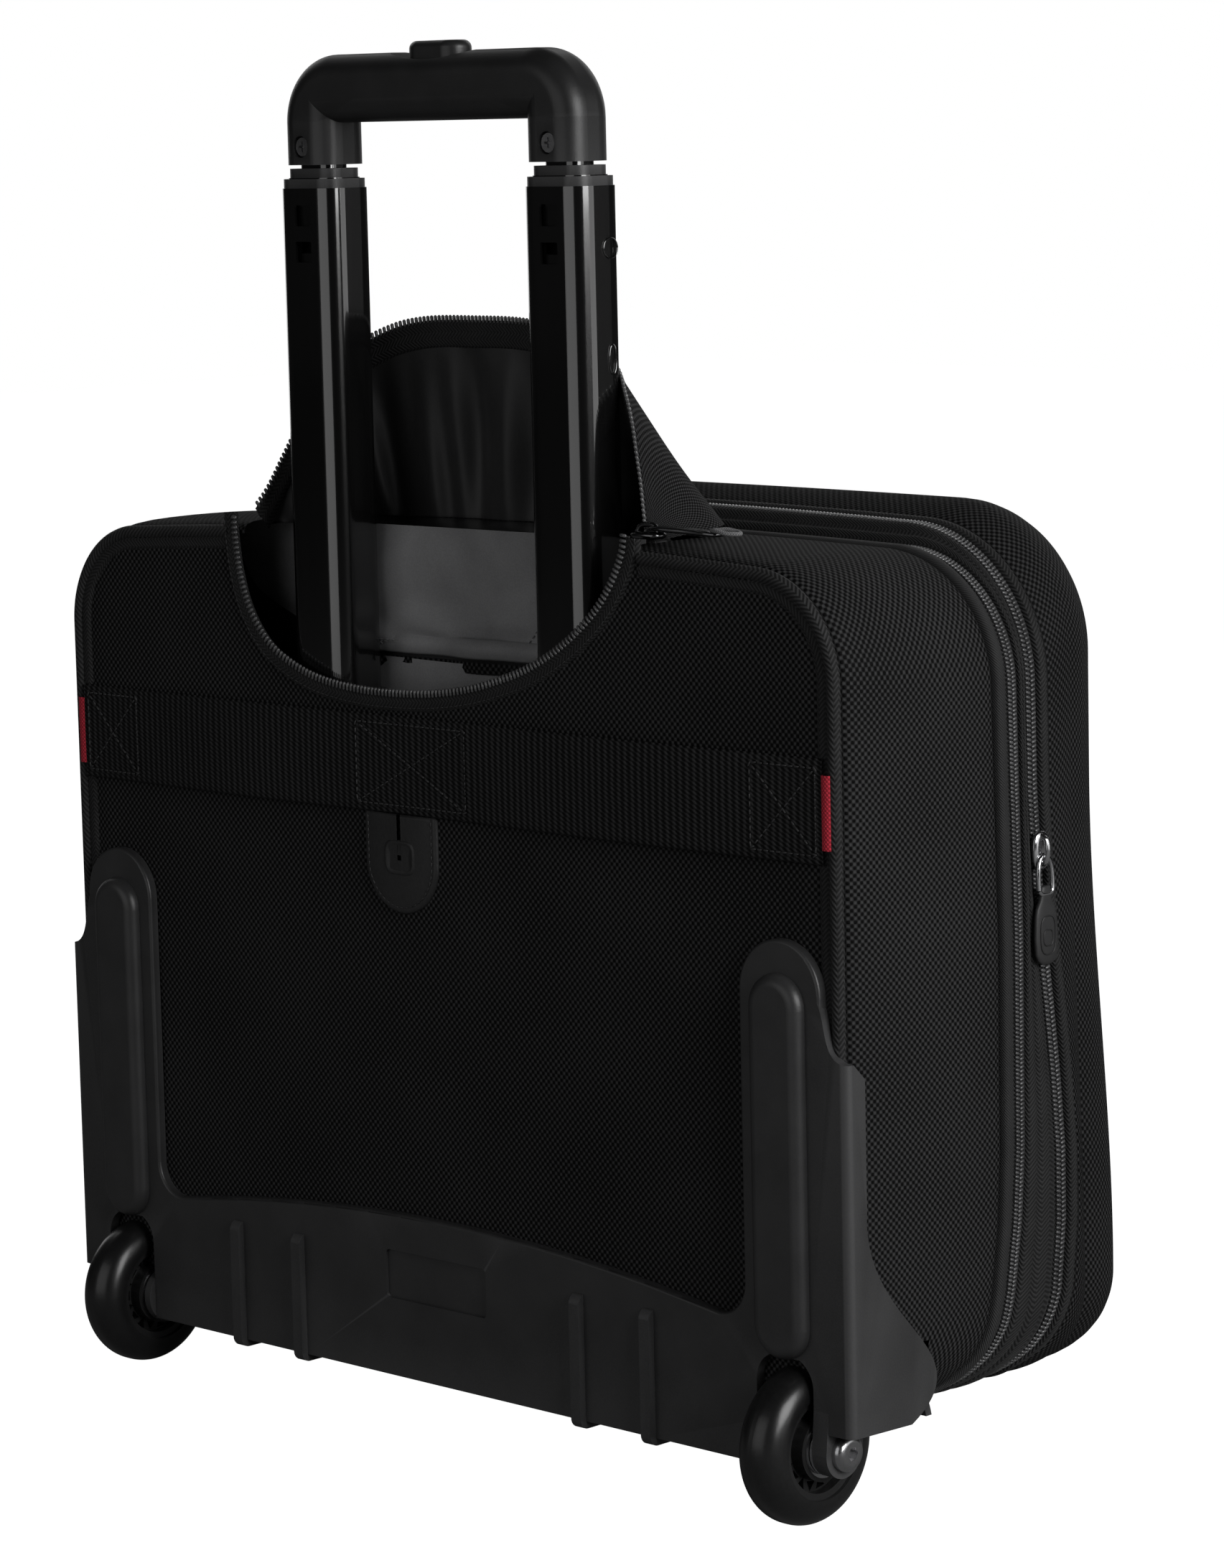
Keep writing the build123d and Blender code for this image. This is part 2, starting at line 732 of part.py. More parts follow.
# ---------------------------------------------------------------- zip sliders and pulls
side_slider_z = 238.0
side_chain_y = back_y + (middle_front + front_back) / 2
slider_face = front_half + 0.3

with BuildPart() as side_slider:
    with BuildSketch(facing_side(slider_face)):
        with Locations((side_chain_y, side_slider_z)):
            RectangleRounded(9, 14, 3)
    extrude(amount=2.4)
    with BuildSketch(facing_side(slider_face + 2.4)):
        with Locations((side_chain_y, side_slider_z)):
            RectangleRounded(4, 9, 1.5)
    extrude(amount=1.6)
save(side_slider, "side_slider")

pull_pivot_z = side_slider_z - 9
with BuildPart() as side_pull:
    with BuildSketch(facing_side(slider_face + 0.6)):
        with Locations((side_chain_y, pull_pivot_z - 19)):
            RectangleRounded(12, 26, 3.5)
        with Locations((side_chain_y, pull_pivot_z - 3)):
            RectangleRounded(7, 8, 2)
            RectangleRounded(4, 5, 1, mode=Mode.SUBTRACT)
    extrude(amount=2.6)
save(side_pull, "side_pull")

top_slider_x = mouth_half_width - 2
top_slider_y = back_y + 10
top_slider_z = back_top + 0.6
with BuildPart() as top_slider:
    with BuildSketch(level(top_slider_z)):
        with Locations((top_slider_x + 8, top_slider_y)):
            RectangleRounded(14, 9, 3)
    extrude(amount=2.6)
save(top_slider, "top_slider")

with BuildPart() as top_pull:
    with BuildSketch(level(top_slider_z + 3.6)):
        with Locations((top_slider_x + 28, top_slider_y)):
            RectangleRounded(34, 7, 2)
    extrude(amount=1.8)
save(top_pull, "top_pull")

# ---------------------------------------------------------------- feet
foot_x = 85.0
foot_y = back_y + 125.0
with BuildPart() as feet:
    for side in (-1, 1):
        with BuildSketch(level(0)):
            with Locations((side * foot_x, foot_y)):
                Circle(9)
        with BuildSketch(level(case_floor + 4)):
            with Locations((side * foot_x, foot_y)):
                Circle(12)
        loft()
    fillet(feet.edges().group_by(Axis.Z)[0], 2)
save(feet, "front_feet")

# ---------------------------------------------------------------- telescopic pull handle


def tube_section(plane, size, wall=0.0):
    """Rounded tube sections for both legs as one sketch; a wall makes them hollow."""
    width, depth, radius = size
    with BuildSketch(plane) as sketch:
        with Locations((-tube_x, trolley_y), (tube_x, trolley_y)):
            RectangleRounded(width, depth, radius)
            if wall:
                RectangleRounded(width - 2 * wall, depth - 2 * wall, radius - wall, mode=Mode.SUBTRACT)
    return sketch.sketch


def grown(size, margin):
    """A tube section grown by a margin on every side."""
    width, depth, radius = size
    return (width + 2 * margin, depth + 2 * margin, radius + margin)


def bore(size, bottom, height):
    """Cuts a bore of this section through both legs of the part that is open."""
    extrude(tube_section(level(bottom), size), amount=height, mode=Mode.SUBTRACT)


def windows(heights, size):
    """Latch windows through the back wall of both legs of the part that is open."""
    with BuildSketch(facing_back(trolley_y)) as sketch:
        with Locations(*[(x, z) for x in (-tube_x, tube_x) for z in heights]):
            RectangleRounded(window_size[0], window_size[1], 0.8)
    extrude(sketch.sketch, amount=size[1], mode=Mode.SUBTRACT)


sleeve_inside = grown(sleeve_size, -tube_wall)
stage_1_inside = grown(stage_1_size, -tube_wall)
stage_2_inside = grown(stage_2_size, -tube_wall)
stage_3_inside = grown(stage_3_size, -tube_wall)

with BuildPart() as sleeves:
    extrude(tube_section(level(sleeve_bottom), sleeve_size, tube_wall), amount=sleeve_top - sleeve_bottom)
save(sleeves, "handle_sleeves")

with BuildPart() as sleeve_collars:
    extrude(tube_section(level(sleeve_top), sleeve_size), amount=collar_height)
    extrude(tube_section(level(sleeve_top - collar_spigot), sleeve_inside), amount=collar_spigot)
    bore(grown(stage_1_size, slide_fit), sleeve_top - collar_spigot - 1, 20)
save(sleeve_collars, "sleeve_collars")

with BuildPart() as foot_bracket:
    with BuildSketch(level(case_floor + fabric)):
        with Locations((0, trolley_y)):
            RectangleRounded(2 * tube_x + sleeve_size[0] + 24, sleeve_size[1] - 1, 4)
    extrude(amount=sleeve_bottom - case_floor - fabric)
    extrude(tube_section(level(sleeve_bottom), grown(sleeve_inside, -0.05)), amount=3)
    with BuildSketch(level(case_floor)):
        with Locations(*screw_positions):
            Circle(bracket_screw_radius)
    extrude(amount=sleeve_bottom, mode=Mode.SUBTRACT)
save(foot_bracket, "handle_foot_bracket")

with BuildPart() as bracket_screws:
    seat = case_floor - tray_thickness
    with BuildSketch(level(seat)):
        with Locations(*screw_positions):
            Circle(bracket_screw_radius)
    extrude(amount=sleeve_bottom - seat)
    with BuildSketch(level(seat - 2.5)):
        with Locations(*screw_positions):
            Circle(4.5)
    extrude(amount=2.5)
save(bracket_screws, "bracket_screws")

with BuildPart() as brace:
    with BuildSketch(facing_back(trolley_y + sleeve_size[1] / 2 + brace_thickness)):
        with Locations((0, brace_height)):
            RectangleRounded(2 * tube_x + sleeve_size[0], brace_width, 4)
    extrude(amount=brace_thickness)
save(brace, "sleeve_brace")

with BuildPart() as stage_1:
    extrude(tube_section(level(stage_1_bottom), stage_1_size, tube_wall), amount=stage_1_top - stage_1_bottom)
    windows(window_heights, stage_1_size)
save(stage_1, "stage_1_tubes")

with BuildPart() as stage_1_collars:
    extrude(tube_section(level(stage_1_top), grown(stage_1_size, -0.6)), amount=collar_height)
    extrude(tube_section(level(stage_1_top - collar_spigot), stage_1_inside), amount=collar_spigot)
    bore(grown(stage_2_size, slide_fit), stage_1_top - collar_spigot - 1, 20)
save(stage_1_collars, "stage_1_collars")

with BuildPart() as stage_1_feet:
    flange = stage_1_bottom - stage_1_foot
    extrude(tube_section(level(flange), grown(sleeve_inside, -foot_fit)), amount=stage_1_foot)
    extrude(tube_section(level(stage_1_bottom), stage_1_inside), amount=foot_spigot)
save(stage_1_feet, "stage_1_feet")

stage_2_top = stage_1_top + collar_height + 0.4
with BuildPart() as stage_2:
    extrude(tube_section(level(stage_2_bottom), stage_2_size, tube_wall), amount=stage_2_top - stage_2_bottom)
    windows([stage_2_bottom + 21.0 + stage_3_travel], stage_2_size)
save(stage_2, "stage_2_tubes")

with BuildPart() as stage_2_collars:
    extrude(tube_section(level(stage_2_top), grown(stage_2_size, -0.6)), amount=collar_height)
    extrude(tube_section(level(stage_2_top - collar_spigot), stage_2_inside), amount=collar_spigot)
    bore(grown(stage_3_size, slide_fit), stage_2_top - collar_spigot - 1, 20)
save(stage_2_collars, "stage_2_collars")

pin_radius = 2.6
pin_length = 7.0
stage_2_pin_heights = [z - stage_2_travel for z in window_heights]
stage_3_pin_height = stage_2_bottom + 21.0


def pin_sites(heights):
    return [(x, z) for x in (-tube_x, tube_x) for z in heights]


with BuildPart() as stage_2_feet:
    flange = stage_2_bottom - stage_2_foot
    extrude(tube_section(level(flange), grown(stage_1_inside, -foot_fit)), amount=stage_2_foot)
    extrude(tube_section(level(stage_2_bottom), stage_2_inside), amount=foot_spigot)
    with BuildSketch(facing_back(trolley_y - stage_1_inside[1] / 2 + foot_fit + pin_length)):
        with Locations(*pin_sites(stage_2_pin_heights)):
            Circle(pin_radius)
    extrude(amount=pin_length + 1, mode=Mode.SUBTRACT)
save(stage_2_feet, "stage_2_feet")

with BuildPart() as stage_2_pins:
    with BuildSketch(facing_back(trolley_y - stage_1_inside[1] / 2 + foot_fit + pin_length)):
        with Locations(*pin_sites(stage_2_pin_heights)):
            Circle(pin_radius)
    extrude(amount=pin_length)
save(stage_2_pins, "stage_2_lock_pins")

stage_3_top = leg_socket_top
with BuildPart() as stage_3:
    extrude(tube_section(level(stage_3_bottom), stage_3_size, tube_wall), amount=stage_3_top - stage_3_bottom)
    screw_z = 501.0
    with BuildSketch(facing_back(trolley_y)):
        with Locations((-tube_x, screw_z), (tube_x, screw_z)):
            Circle(1.9)
    extrude(amount=stage_3_size[1], mode=Mode.SUBTRACT)
save(stage_3, "stage_3_tubes")

with BuildPart() as stage_3_feet:
    flange = stage_3_bottom - stage_3_foot
    extrude(tube_section(level(flange), grown(stage_2_inside, -foot_fit)), amount=stage_3_foot)
    extrude(tube_section(level(stage_3_bottom), stage_3_inside), amount=foot_spigot)
    with BuildSketch(facing_back(trolley_y - stage_2_inside[1] / 2 + foot_fit + pin_length)):
        with Locations(*pin_sites([stage_3_pin_height])):
            Circle(pin_radius)
    extrude(amount=pin_length + 1, mode=Mode.SUBTRACT)
    with BuildSketch(level(stage_3_bottom - 2)):
        with Locations((-tube_x, trolley_y), (tube_x, trolley_y)):
            Circle(rod_radius + 0.4)
    extrude(amount=foot_spigot + 4, mode=Mode.SUBTRACT)
save(stage_3_feet, "stage_3_feet")

with BuildPart() as stage_3_pins:
    with BuildSketch(facing_back(trolley_y - stage_2_inside[1] / 2 + foot_fit + pin_length)):
        with Locations(*pin_sites([stage_3_pin_height])):
            Circle(pin_radius)
    extrude(amount=pin_length)
save(stage_3_pins, "stage_3_lock_pins")

# ---------------------------------------------------------------- grip
cavity_bottom = grip_bottom + grip_wall
cavity_top = 530.0
cavity_depth = 17.0
cavity_half = 72.5
cavity_shoulder = 525.5
button_room_half = 20.0
grip_outer_corner = 26.0
grip_inner_corner = 13.0
button_flange = 1.5
dip_radius = 90.0
dip_depth = 3.0
grip_front = trolley_y + grip_depth / 2


def grip_body():
    """Solid outer shape of the grip and its two legs."""
    with BuildPart() as body:
        with BuildSketch(facing_back(grip_front)) as outline:
            with BuildLine():
                Polyline(
                    (-grip_half_width, leg_bottom),
                    (-grip_half_width, grip_top),
                    (grip_half_width, grip_top),
                    (grip_half_width, leg_bottom),
                    (leg_inner_x, leg_bottom),
                    (leg_inner_x, grip_bottom),
                    (-leg_inner_x, grip_bottom),
                    (-leg_inner_x, leg_bottom),
                    close=True,
                )
            make_face()
            corners = outline.vertices()
            fillet(corners.filter_by(lambda v: v.Y > grip_top - 1), grip_outer_corner)
            fillet(corners.filter_by(lambda v: abs(v.Y - grip_bottom) < 1), grip_inner_corner)
        extrude(amount=grip_depth)
        long_edges = body.faces().filter_by(Axis.Y).edges()
        fillet(long_edges.filter_by(lambda e: e.center().Z > leg_bottom + 0.5), grip_round)
        with BuildSketch(facing_back(grip_front + 1)):
            with Locations((0, grip_top + dip_radius - dip_depth)):
                Circle(dip_radius)
        extrude(amount=grip_depth + 2, mode=Mode.SUBTRACT)
    return body.part


def above_seam():
    """Region above the seam line between the two grip shells."""
    with BuildSketch(facing_back(grip_front + 2)) as region:
        with BuildLine():
            Polyline(
                (-grip_half_width - 5, seam_side),
                (-58, seam_side),
                (-36, seam_middle),
                (36, seam_middle),
                (58, seam_side),
                (grip_half_width + 5, seam_side),
                (grip_half_width + 5, grip_top + 20),
                (-grip_half_width - 5, grip_top + 20),
                close=True,
            )
        make_face()
    return region.sketch


def grip_cavity():
    """Cuts the room for the release mechanism out of the shell that is open."""
    for half, top in ((cavity_half, cavity_shoulder), (button_room_half, cavity_top)):
        with BuildSketch(level(cavity_bottom)) as room:
            with Locations((0, trolley_y)):
                RectangleRounded(2 * half, cavity_depth, 6)
        extrude(room.sketch, amount=top - cavity_bottom, mode=Mode.SUBTRACT)


whole_grip = grip_body()
with BuildPart() as upper_shell:
    add(whole_grip)
    extrude(above_seam(), amount=grip_depth + 4, mode=Mode.INTERSECT)
    grip_cavity()
    with BuildSketch(level(cavity_top - 1)):
        with Locations((0, trolley_y)):
            SlotOverall(button_size[0] + 2 * slide_fit, button_size[1] + 2 * slide_fit)
    extrude(amount=20, mode=Mode.SUBTRACT)
    with BuildSketch(level(seam_side - 1)):
        with Locations((-tube_x, trolley_y), (tube_x, trolley_y)):
            Circle(rod_radius + 0.6)
    extrude(amount=cavity_bottom - seam_side + 2, mode=Mode.SUBTRACT)
save(upper_shell, "grip_upper_shell")

with BuildPart() as lower_shell:
    add(whole_grip)
    extrude(above_seam(), amount=grip_depth + 4, mode=Mode.SUBTRACT)
    grip_cavity()
    bore(stage_3_size, leg_bottom - 1, leg_socket_top - leg_bottom + 1)
    bore(grown(stage_3_size, -4.0), leg_socket_top - 1, 12)
    with BuildSketch(facing_back(trolley_y)):
        with Locations((-tube_x, screw_z), (tube_x, screw_z)):
            Circle(1.9)
    extrude(amount=grip_depth, mode=Mode.SUBTRACT)
    with BuildSketch(facing_back(trolley_y - grip_depth / 2 + 3)):
        with Locations((-tube_x, screw_z), (tube_x, screw_z)):
            Circle(4.2)
    extrude(amount=grip_depth, mode=Mode.SUBTRACT)
save(lower_shell, "grip_lower_shell")

with BuildPart() as grip_screws:
    screw_seat = trolley_y - grip_depth / 2 + 3
    with BuildSketch(facing_back(screw_seat)):
        with Locations((-tube_x, screw_z), (tube_x, screw_z)):
            Circle(3.6)
    extrude(amount=2.0)
    with BuildSketch(facing_back(screw_seat)):
        with Locations((-tube_x, screw_z), (tube_x, screw_z)):
            Circle(1.9)
    extrude(amount=-6.5)
    with BuildSketch(facing_back(screw_seat - 2.0)):
        with Locations((-tube_x, screw_z), (tube_x, screw_z)):
            Rectangle(4.0, 0.9)
            Rectangle(0.9, 4.0)
    extrude(amount=-1.4, mode=Mode.SUBTRACT)
save(grip_screws, "grip_screws")

with BuildPart() as button:
    flange_top = cavity_top - 0.3
    with BuildSketch(level(flange_top - button_flange)):
        with Locations((0, trolley_y)):
            SlotOverall(button_size[0] + 3, button_size[1] + 2)
    extrude(amount=button_flange)
    with BuildSketch(level(flange_top)):
        with Locations((0, trolley_y)):
            SlotOverall(*button_size)
    extrude(amount=button_top - flange_top)
    fillet(button.faces().sort_by(Axis.Z)[-1].edges(), 3.0)
    with BuildSketch(level(flange_top - button_flange)):
        with Locations((0, trolley_y)):
            Rectangle(8, 8)
    extrude(amount=-(flange_top - button_flange - yoke_bottom - yoke_thickness))
save(button, "release_button")

with BuildPart() as yoke:
    with BuildSketch(level(yoke_bottom)):
        with Locations((0, trolley_y)):
            RectangleRounded(2 * tube_x + 8, 8, 2)
    extrude(amount=yoke_thickness)
save(yoke, "release_yoke")

with BuildPart() as rods:
    rod_bottom = stage_3_bottom + button_travel - 1.0
    with BuildSketch(level(rod_bottom)):
        with Locations((-tube_x, trolley_y), (tube_x, trolley_y)):
            Circle(rod_radius)
    extrude(amount=yoke_bottom - rod_bottom)
save(rods, "release_rods")

with BuildPart() as spring:
    spring_radius = 3.0
    spring_height = yoke_bottom - cavity_bottom
    wire_radius = 0.4
    with BuildLine() as coil:
        Helix(
            pitch=(spring_height - 2 * wire_radius) / 4,
            height=spring_height - 2 * wire_radius,
            radius=spring_radius,
            center=(0, trolley_y, cavity_bottom + wire_radius),
        )
    with BuildSketch(Plane(origin=coil.line @ 0, z_dir=coil.line % 0)):
        Circle(wire_radius)
    sweep()
save(spring, "button_spring")
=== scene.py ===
import math

import bpy
import numpy as np
from mathutils import Matrix, Vector


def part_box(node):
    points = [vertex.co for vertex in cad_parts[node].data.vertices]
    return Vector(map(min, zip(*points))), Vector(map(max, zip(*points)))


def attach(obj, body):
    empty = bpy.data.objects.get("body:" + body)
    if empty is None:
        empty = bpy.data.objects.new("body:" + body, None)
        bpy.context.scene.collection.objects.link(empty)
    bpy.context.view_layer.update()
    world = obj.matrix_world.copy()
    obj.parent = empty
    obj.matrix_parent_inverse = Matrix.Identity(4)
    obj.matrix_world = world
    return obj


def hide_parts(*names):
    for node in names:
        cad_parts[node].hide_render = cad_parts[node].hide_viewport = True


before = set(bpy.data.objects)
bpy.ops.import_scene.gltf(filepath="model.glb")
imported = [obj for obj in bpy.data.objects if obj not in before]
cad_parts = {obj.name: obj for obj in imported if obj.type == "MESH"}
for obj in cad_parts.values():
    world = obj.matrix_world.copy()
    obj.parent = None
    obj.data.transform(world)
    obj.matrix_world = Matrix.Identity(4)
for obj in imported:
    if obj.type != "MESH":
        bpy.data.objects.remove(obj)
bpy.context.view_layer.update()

MM = 0.001
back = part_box("back_panel")[1].y / MM          # back plane of the case, y here is measured from it

# ---------------------------------------------------------------- materials


class Nodes:
    """Small wrapper that adds and links shader nodes."""

    def __init__(self, name):
        self.material = bpy.data.materials.new(name)
        self.material.use_nodes = True
        self.tree = self.material.node_tree
        self.shader = next(n for n in self.tree.nodes if n.type == "BSDF_PRINCIPLED")

    def link(self, value, socket):
        if hasattr(value, "is_output"):
            self.tree.links.new(value, socket)
        else:
            socket.default_value = value

    def add(self, kind, **values):
        node = self.tree.nodes.new(kind)
        for key, value in values.items():
            setattr(node, key, value)
        return node

    def math(self, operation, a, b=0.0, c=0.0):
        node = self.add("ShaderNodeMath", operation=operation)
        for value, socket in zip((a, b, c), node.inputs):
            self.link(value, socket)
        return node.outputs[0]

    def noise(self, vector, scale, detail=3.0, rough=0.55):
        node = self.add("ShaderNodeTexNoise")
        self.tree.links.new(vector, node.inputs["Vector"])
        node.inputs["Scale"].default_value = scale
        node.inputs["Detail"].default_value = detail
        node.inputs["Roughness"].default_value = rough
        return node.outputs["Fac"]

    def ramp(self, factor, low, high, start=0.0, end=1.0):
        node = self.add("ShaderNodeMix", data_type="RGBA")
        t = self.add("ShaderNodeMapRange")
        self.link(factor, t.inputs["Value"])
        t.inputs["From Min"].default_value = start
        t.inputs["From Max"].default_value = end
        self.tree.links.new(t.outputs[0], node.inputs["Factor"])
        node.inputs["A"].default_value = (*low, 1)
        node.inputs["B"].default_value = (*high, 1)
        return node.outputs["Result"]

    def bump(self, height, distance, strength=1.0):
        node = self.add("ShaderNodeBump")
        node.inputs["Distance"].default_value = distance
        node.inputs["Strength"].default_value = strength
        self.link(height, node.inputs["Height"])
        self.tree.links.new(node.outputs[0], self.shader.inputs["Normal"])

    def place(self, kind="Object"):
        return self.add("ShaderNodeTexCoord").outputs[kind]

    def finish(self, rough=None, metallic=0.0, sheen=0.0, coat=0.0, coat_rough=0.1, specular=0.5):
        if rough is not None:
            self.link(rough, self.shader.inputs["Roughness"])
        self.shader.inputs["Metallic"].default_value = metallic
        self.shader.inputs["Sheen Weight"].default_value = sheen
        self.shader.inputs["Sheen Roughness"].default_value = 0.45
        self.shader.inputs["Coat Weight"].default_value = coat
        self.shader.inputs["Coat Roughness"].default_value = coat_rough
        self.shader.inputs["Specular IOR Level"].default_value = specular
        return self.material


def grey(value):
    return (value, value, value * 1.02)


def weave(name, pitch, low, high, depth=0.00018, twist=0.0, rough=0.78, sheen=0.05, specular=0.25):
    """Basket weave of warp and weft crowns, with slubs and a slow drift of colour. The crowns are painted paler
    than the gaps between them: painted highlight on the threads, painted shade in the gaps.
    """
    m = Nodes(name)
    split = m.add("ShaderNodeSeparateXYZ")
    uv = m.place("UV")
    m.tree.links.new(uv, split.inputs[0])
    u, v = split.outputs[0], split.outputs[1]
    wobble = m.math("MULTIPLY", m.noise(uv, 90.0, 2.0), pitch * 0.25)
    u2 = m.math("ADD", m.math("ADD", u, m.math("MULTIPLY", v, twist)), wobble)
    k = 2 * math.pi / pitch
    warp = m.math("SINE", m.math("MULTIPLY", u2, k))
    weft = m.math("SINE", m.math("MULTIPLY", v, k))
    crown = m.math("MULTIPLY_ADD", m.math("MULTIPLY", warp, weft), 0.5, 0.5)
    fibre = m.noise(uv, 2600.0, 1.0)
    drift = m.noise(uv, 14.0, 3.0)
    # the crown term in the colour is painted light (highlight on the thread crowns, shade in the gaps); fibre and
    # drift are random tone of the cloth
    tone_with_painted_light = m.math("MULTIPLY_ADD", fibre, 0.25, m.math("MULTIPLY_ADD", drift, 0.3, crown))
    m.tree.links.new(m.ramp(tone_with_painted_light, low, high, 0.58, 1.18), m.shader.inputs["Base Color"])
    m.bump(m.math("MULTIPLY_ADD", fibre, 0.25, crown), depth)
    return m.finish(m.math("MULTIPLY_ADD", drift, 0.15, rough - 0.07), sheen=sheen, specular=specular)


def herringbone(name, pitch, band, low, high, depth=0.0002, rough=0.7, specular=0.3):
    """Zip tape or piping cover: ribs that turn back on themselves every band across the tape. The ribs are
    painted paler than the grooves: painted highlight on the ribs, painted shade in the grooves.
    """
    m = Nodes(name)
    split = m.add("ShaderNodeSeparateXYZ")
    uv = m.place("UV")
    m.tree.links.new(uv, split.inputs[0])
    fold = m.math("PINGPONG", split.outputs[1], band)
    slope = m.math("ADD", split.outputs[0], m.math("MULTIPLY", fold, 1.1))
    rib = m.math("MULTIPLY_ADD", m.math("SINE", m.math("MULTIPLY", slope, 2 * math.pi / pitch)), 0.5, 0.5)
    drift = m.noise(uv, 60.0, 3.0)
    # the rib term in the colour is painted light (highlight on the ribs, shade in the grooves); drift is random
    # tone of the tape
    tone_with_painted_light = m.math("MULTIPLY_ADD", drift, 0.4, m.math("MULTIPLY", rib, 0.7))
    m.tree.links.new(m.ramp(tone_with_painted_light, low, high, 0.15, 0.95), m.shader.inputs["Base Color"])
    m.bump(rib, depth)
    return m.finish(rough, sheen=0.04, specular=specular)


def satin(name, low, high, rough=0.42, grain=1500.0, sheen=0.1, specular=0.4):
    """Smooth lining cloth: fine plain weave, soft gloss."""
    m = Nodes(name)
    place = m.place()
    drift = m.noise(place, 30.0, 4.0)
    thread = m.noise(place, grain, 2.0)
    m.tree.links.new(
        m.ramp(m.math("MULTIPLY_ADD", thread, 0.35, m.math("MULTIPLY", drift, 0.65)), low, high, 0.25, 0.75),
        m.shader.inputs["Base Color"],
    )
    m.bump(m.math("MULTIPLY_ADD", drift, 0.8, m.math("MULTIPLY", thread, 0.12)), 0.0006, 0.6)
    return m.finish(m.math("MULTIPLY_ADD", thread, 0.15, rough), sheen=sheen, specular=specular)


def solid(name, low, high, scale, depth, rough, spread=0.1, metallic=0.0, coat=0.0, coat_rough=0.1,
          specular=0.5, stretch=(1, 1, 1), worn=None):
    """Moulded, rubber or metal surface: grain, mottled gloss, and paler worn edges where worn is given."""
    m = Nodes(name)
    mapping = m.add("ShaderNodeMapping")
    mapping.inputs["Scale"].default_value = stretch
    m.tree.links.new(m.place(), mapping.inputs["Vector"])
    place = mapping.outputs[0]
    fine = m.noise(place, scale, 3.0)
    slow = m.noise(place, scale / 25, 3.0)
    colour = m.ramp(m.math("MULTIPLY_ADD", fine, 0.4, m.math("MULTIPLY", slow, 0.6)), low, high, 0.3, 0.7)
    if worn:
        edge = m.math("POWER", m.add("ShaderNodeNewGeometry").outputs["Pointiness"], 2.0)
        rub = m.add("ShaderNodeMix", data_type="RGBA")
        reach = m.add("ShaderNodeMapRange")
        frayed_edge = m.math("MULTIPLY_ADD", m.math("SUBTRACT", fine, 0.5), 0.06, edge)
        m.tree.links.new(frayed_edge, reach.inputs["Value"])
        reach.inputs["From Min"].default_value = 0.29
        reach.inputs["From Max"].default_value = 0.42
        m.tree.links.new(reach.outputs[0], rub.inputs["Factor"])
        m.tree.links.new(colour, rub.inputs["A"])
        rub.inputs["B"].default_value = (*worn, 1)
        colour = rub.outputs["Result"]
    m.tree.links.new(colour, m.shader.inputs["Base Color"])
    m.bump(fine, depth, 0.7)
    return m.finish(m.math("MULTIPLY_ADD", slow, spread, rough - spread / 2), metallic=metallic, coat=coat,
                    coat_rough=coat_rough, specular=specular)


cloth = weave("case_cloth", 0.0028, grey(0.001), grey(0.052), depth=0.0003, sheen=0.0, specular=0.12)
cloth_front = weave("front_cloth", 0.0028, grey(0.001), grey(0.044), depth=0.0003, twist=0.15, sheen=0.0,
                    specular=0.12)
tape = herringbone("zip_tape", 0.0018, 0.0028, grey(0.002), grey(0.028))
piping_cover = herringbone("piping_cover", 0.0022, 0.0044, grey(0.002), grey(0.038), depth=0.00025)
welt_cloth = herringbone("welt_cloth", 0.0011, 0.02, grey(0.014), grey(0.034), depth=0.00012)
webbing = weave("strap_webbing", 0.0034, grey(0.001), grey(0.040), depth=0.0004, twist=1.0, rough=0.62,
                sheen=0.0, specular=0.15)
lining_grey = satin("grey_lining", grey(0.16), grey(0.34))
lining_black = satin("black_lining", grey(0.016), grey(0.036), rough=0.42)
red_web = weave("red_tab", 0.0016, (0.34, 0.016, 0.030), (0.72, 0.045, 0.075), depth=0.0002)
# coil teeth are painted paler than their black nylon: painted highlight, so the rows read as bright dotted lines
teeth = solid("coil_teeth", grey(0.05), grey(0.12), 900, 0.00002, 0.26, coat=0.8, coat_rough=0.18)
thread = solid("sewing_thread", grey(0.02), grey(0.05), 1500, 0.00004, 0.6)
leather_skin = solid("leather", grey(0.012), grey(0.026), 700, 0.00012, 0.5, spread=0.2)
plastic = solid("moulded_plastic", grey(0.026), grey(0.040), 1400, 0.00005, 0.40, spread=0.1, worn=grey(0.07))
soft_plastic = solid("grip_plastic", grey(0.012), grey(0.020), 1600, 0.00004, 0.4, worn=grey(0.04))
button_plastic = solid("button_plastic", grey(0.016), grey(0.026), 1600, 0.00003, 0.35)
black_tube = solid("anodised_tube", grey(0.003), grey(0.006), 500, 0.000006, 0.14, spread=0.05, specular=1.0,
                   coat=1.0, coat_rough=0.05, stretch=(1, 1, 0.05))
bare_alloy = solid("bare_alloy", grey(0.4), grey(0.55), 500, 0.00001, 0.35, metallic=1.0,
                   stretch=(1, 1, 0.05))
steel = solid("bright_steel", grey(0.42), grey(0.6), 900, 0.00001, 0.24, metallic=1.0)
nickel = solid("nickel_plate", grey(0.62), grey(0.78), 600, 0.000006, 0.16, metallic=1.0)
gun_metal = solid("black_nickel", grey(0.10), grey(0.17), 700, 0.00001, 0.22, metallic=1.0)
rubber = solid("tyre_rubber", grey(0.006), grey(0.014), 600, 0.00004, 0.3, spread=0.12, coat=0.15,
               coat_rough=0.2)
core_plastic = solid("wheel_core_plastic", grey(0.012), grey(0.022), 1200, 0.00003, 0.34)
pull_rubber = solid("pull_rubber", grey(0.020), grey(0.032), 1200, 0.00003, 0.5)
fibre_board = solid("fibre_board", grey(0.012), grey(0.026), 900, 0.0001, 0.7)
pad_cloth = weave("divider_cloth", 0.0016, grey(0.03), grey(0.07))
cord_cloth = weave("pull_cord", 0.0010, grey(0.12), grey(0.30), depth=0.0001)

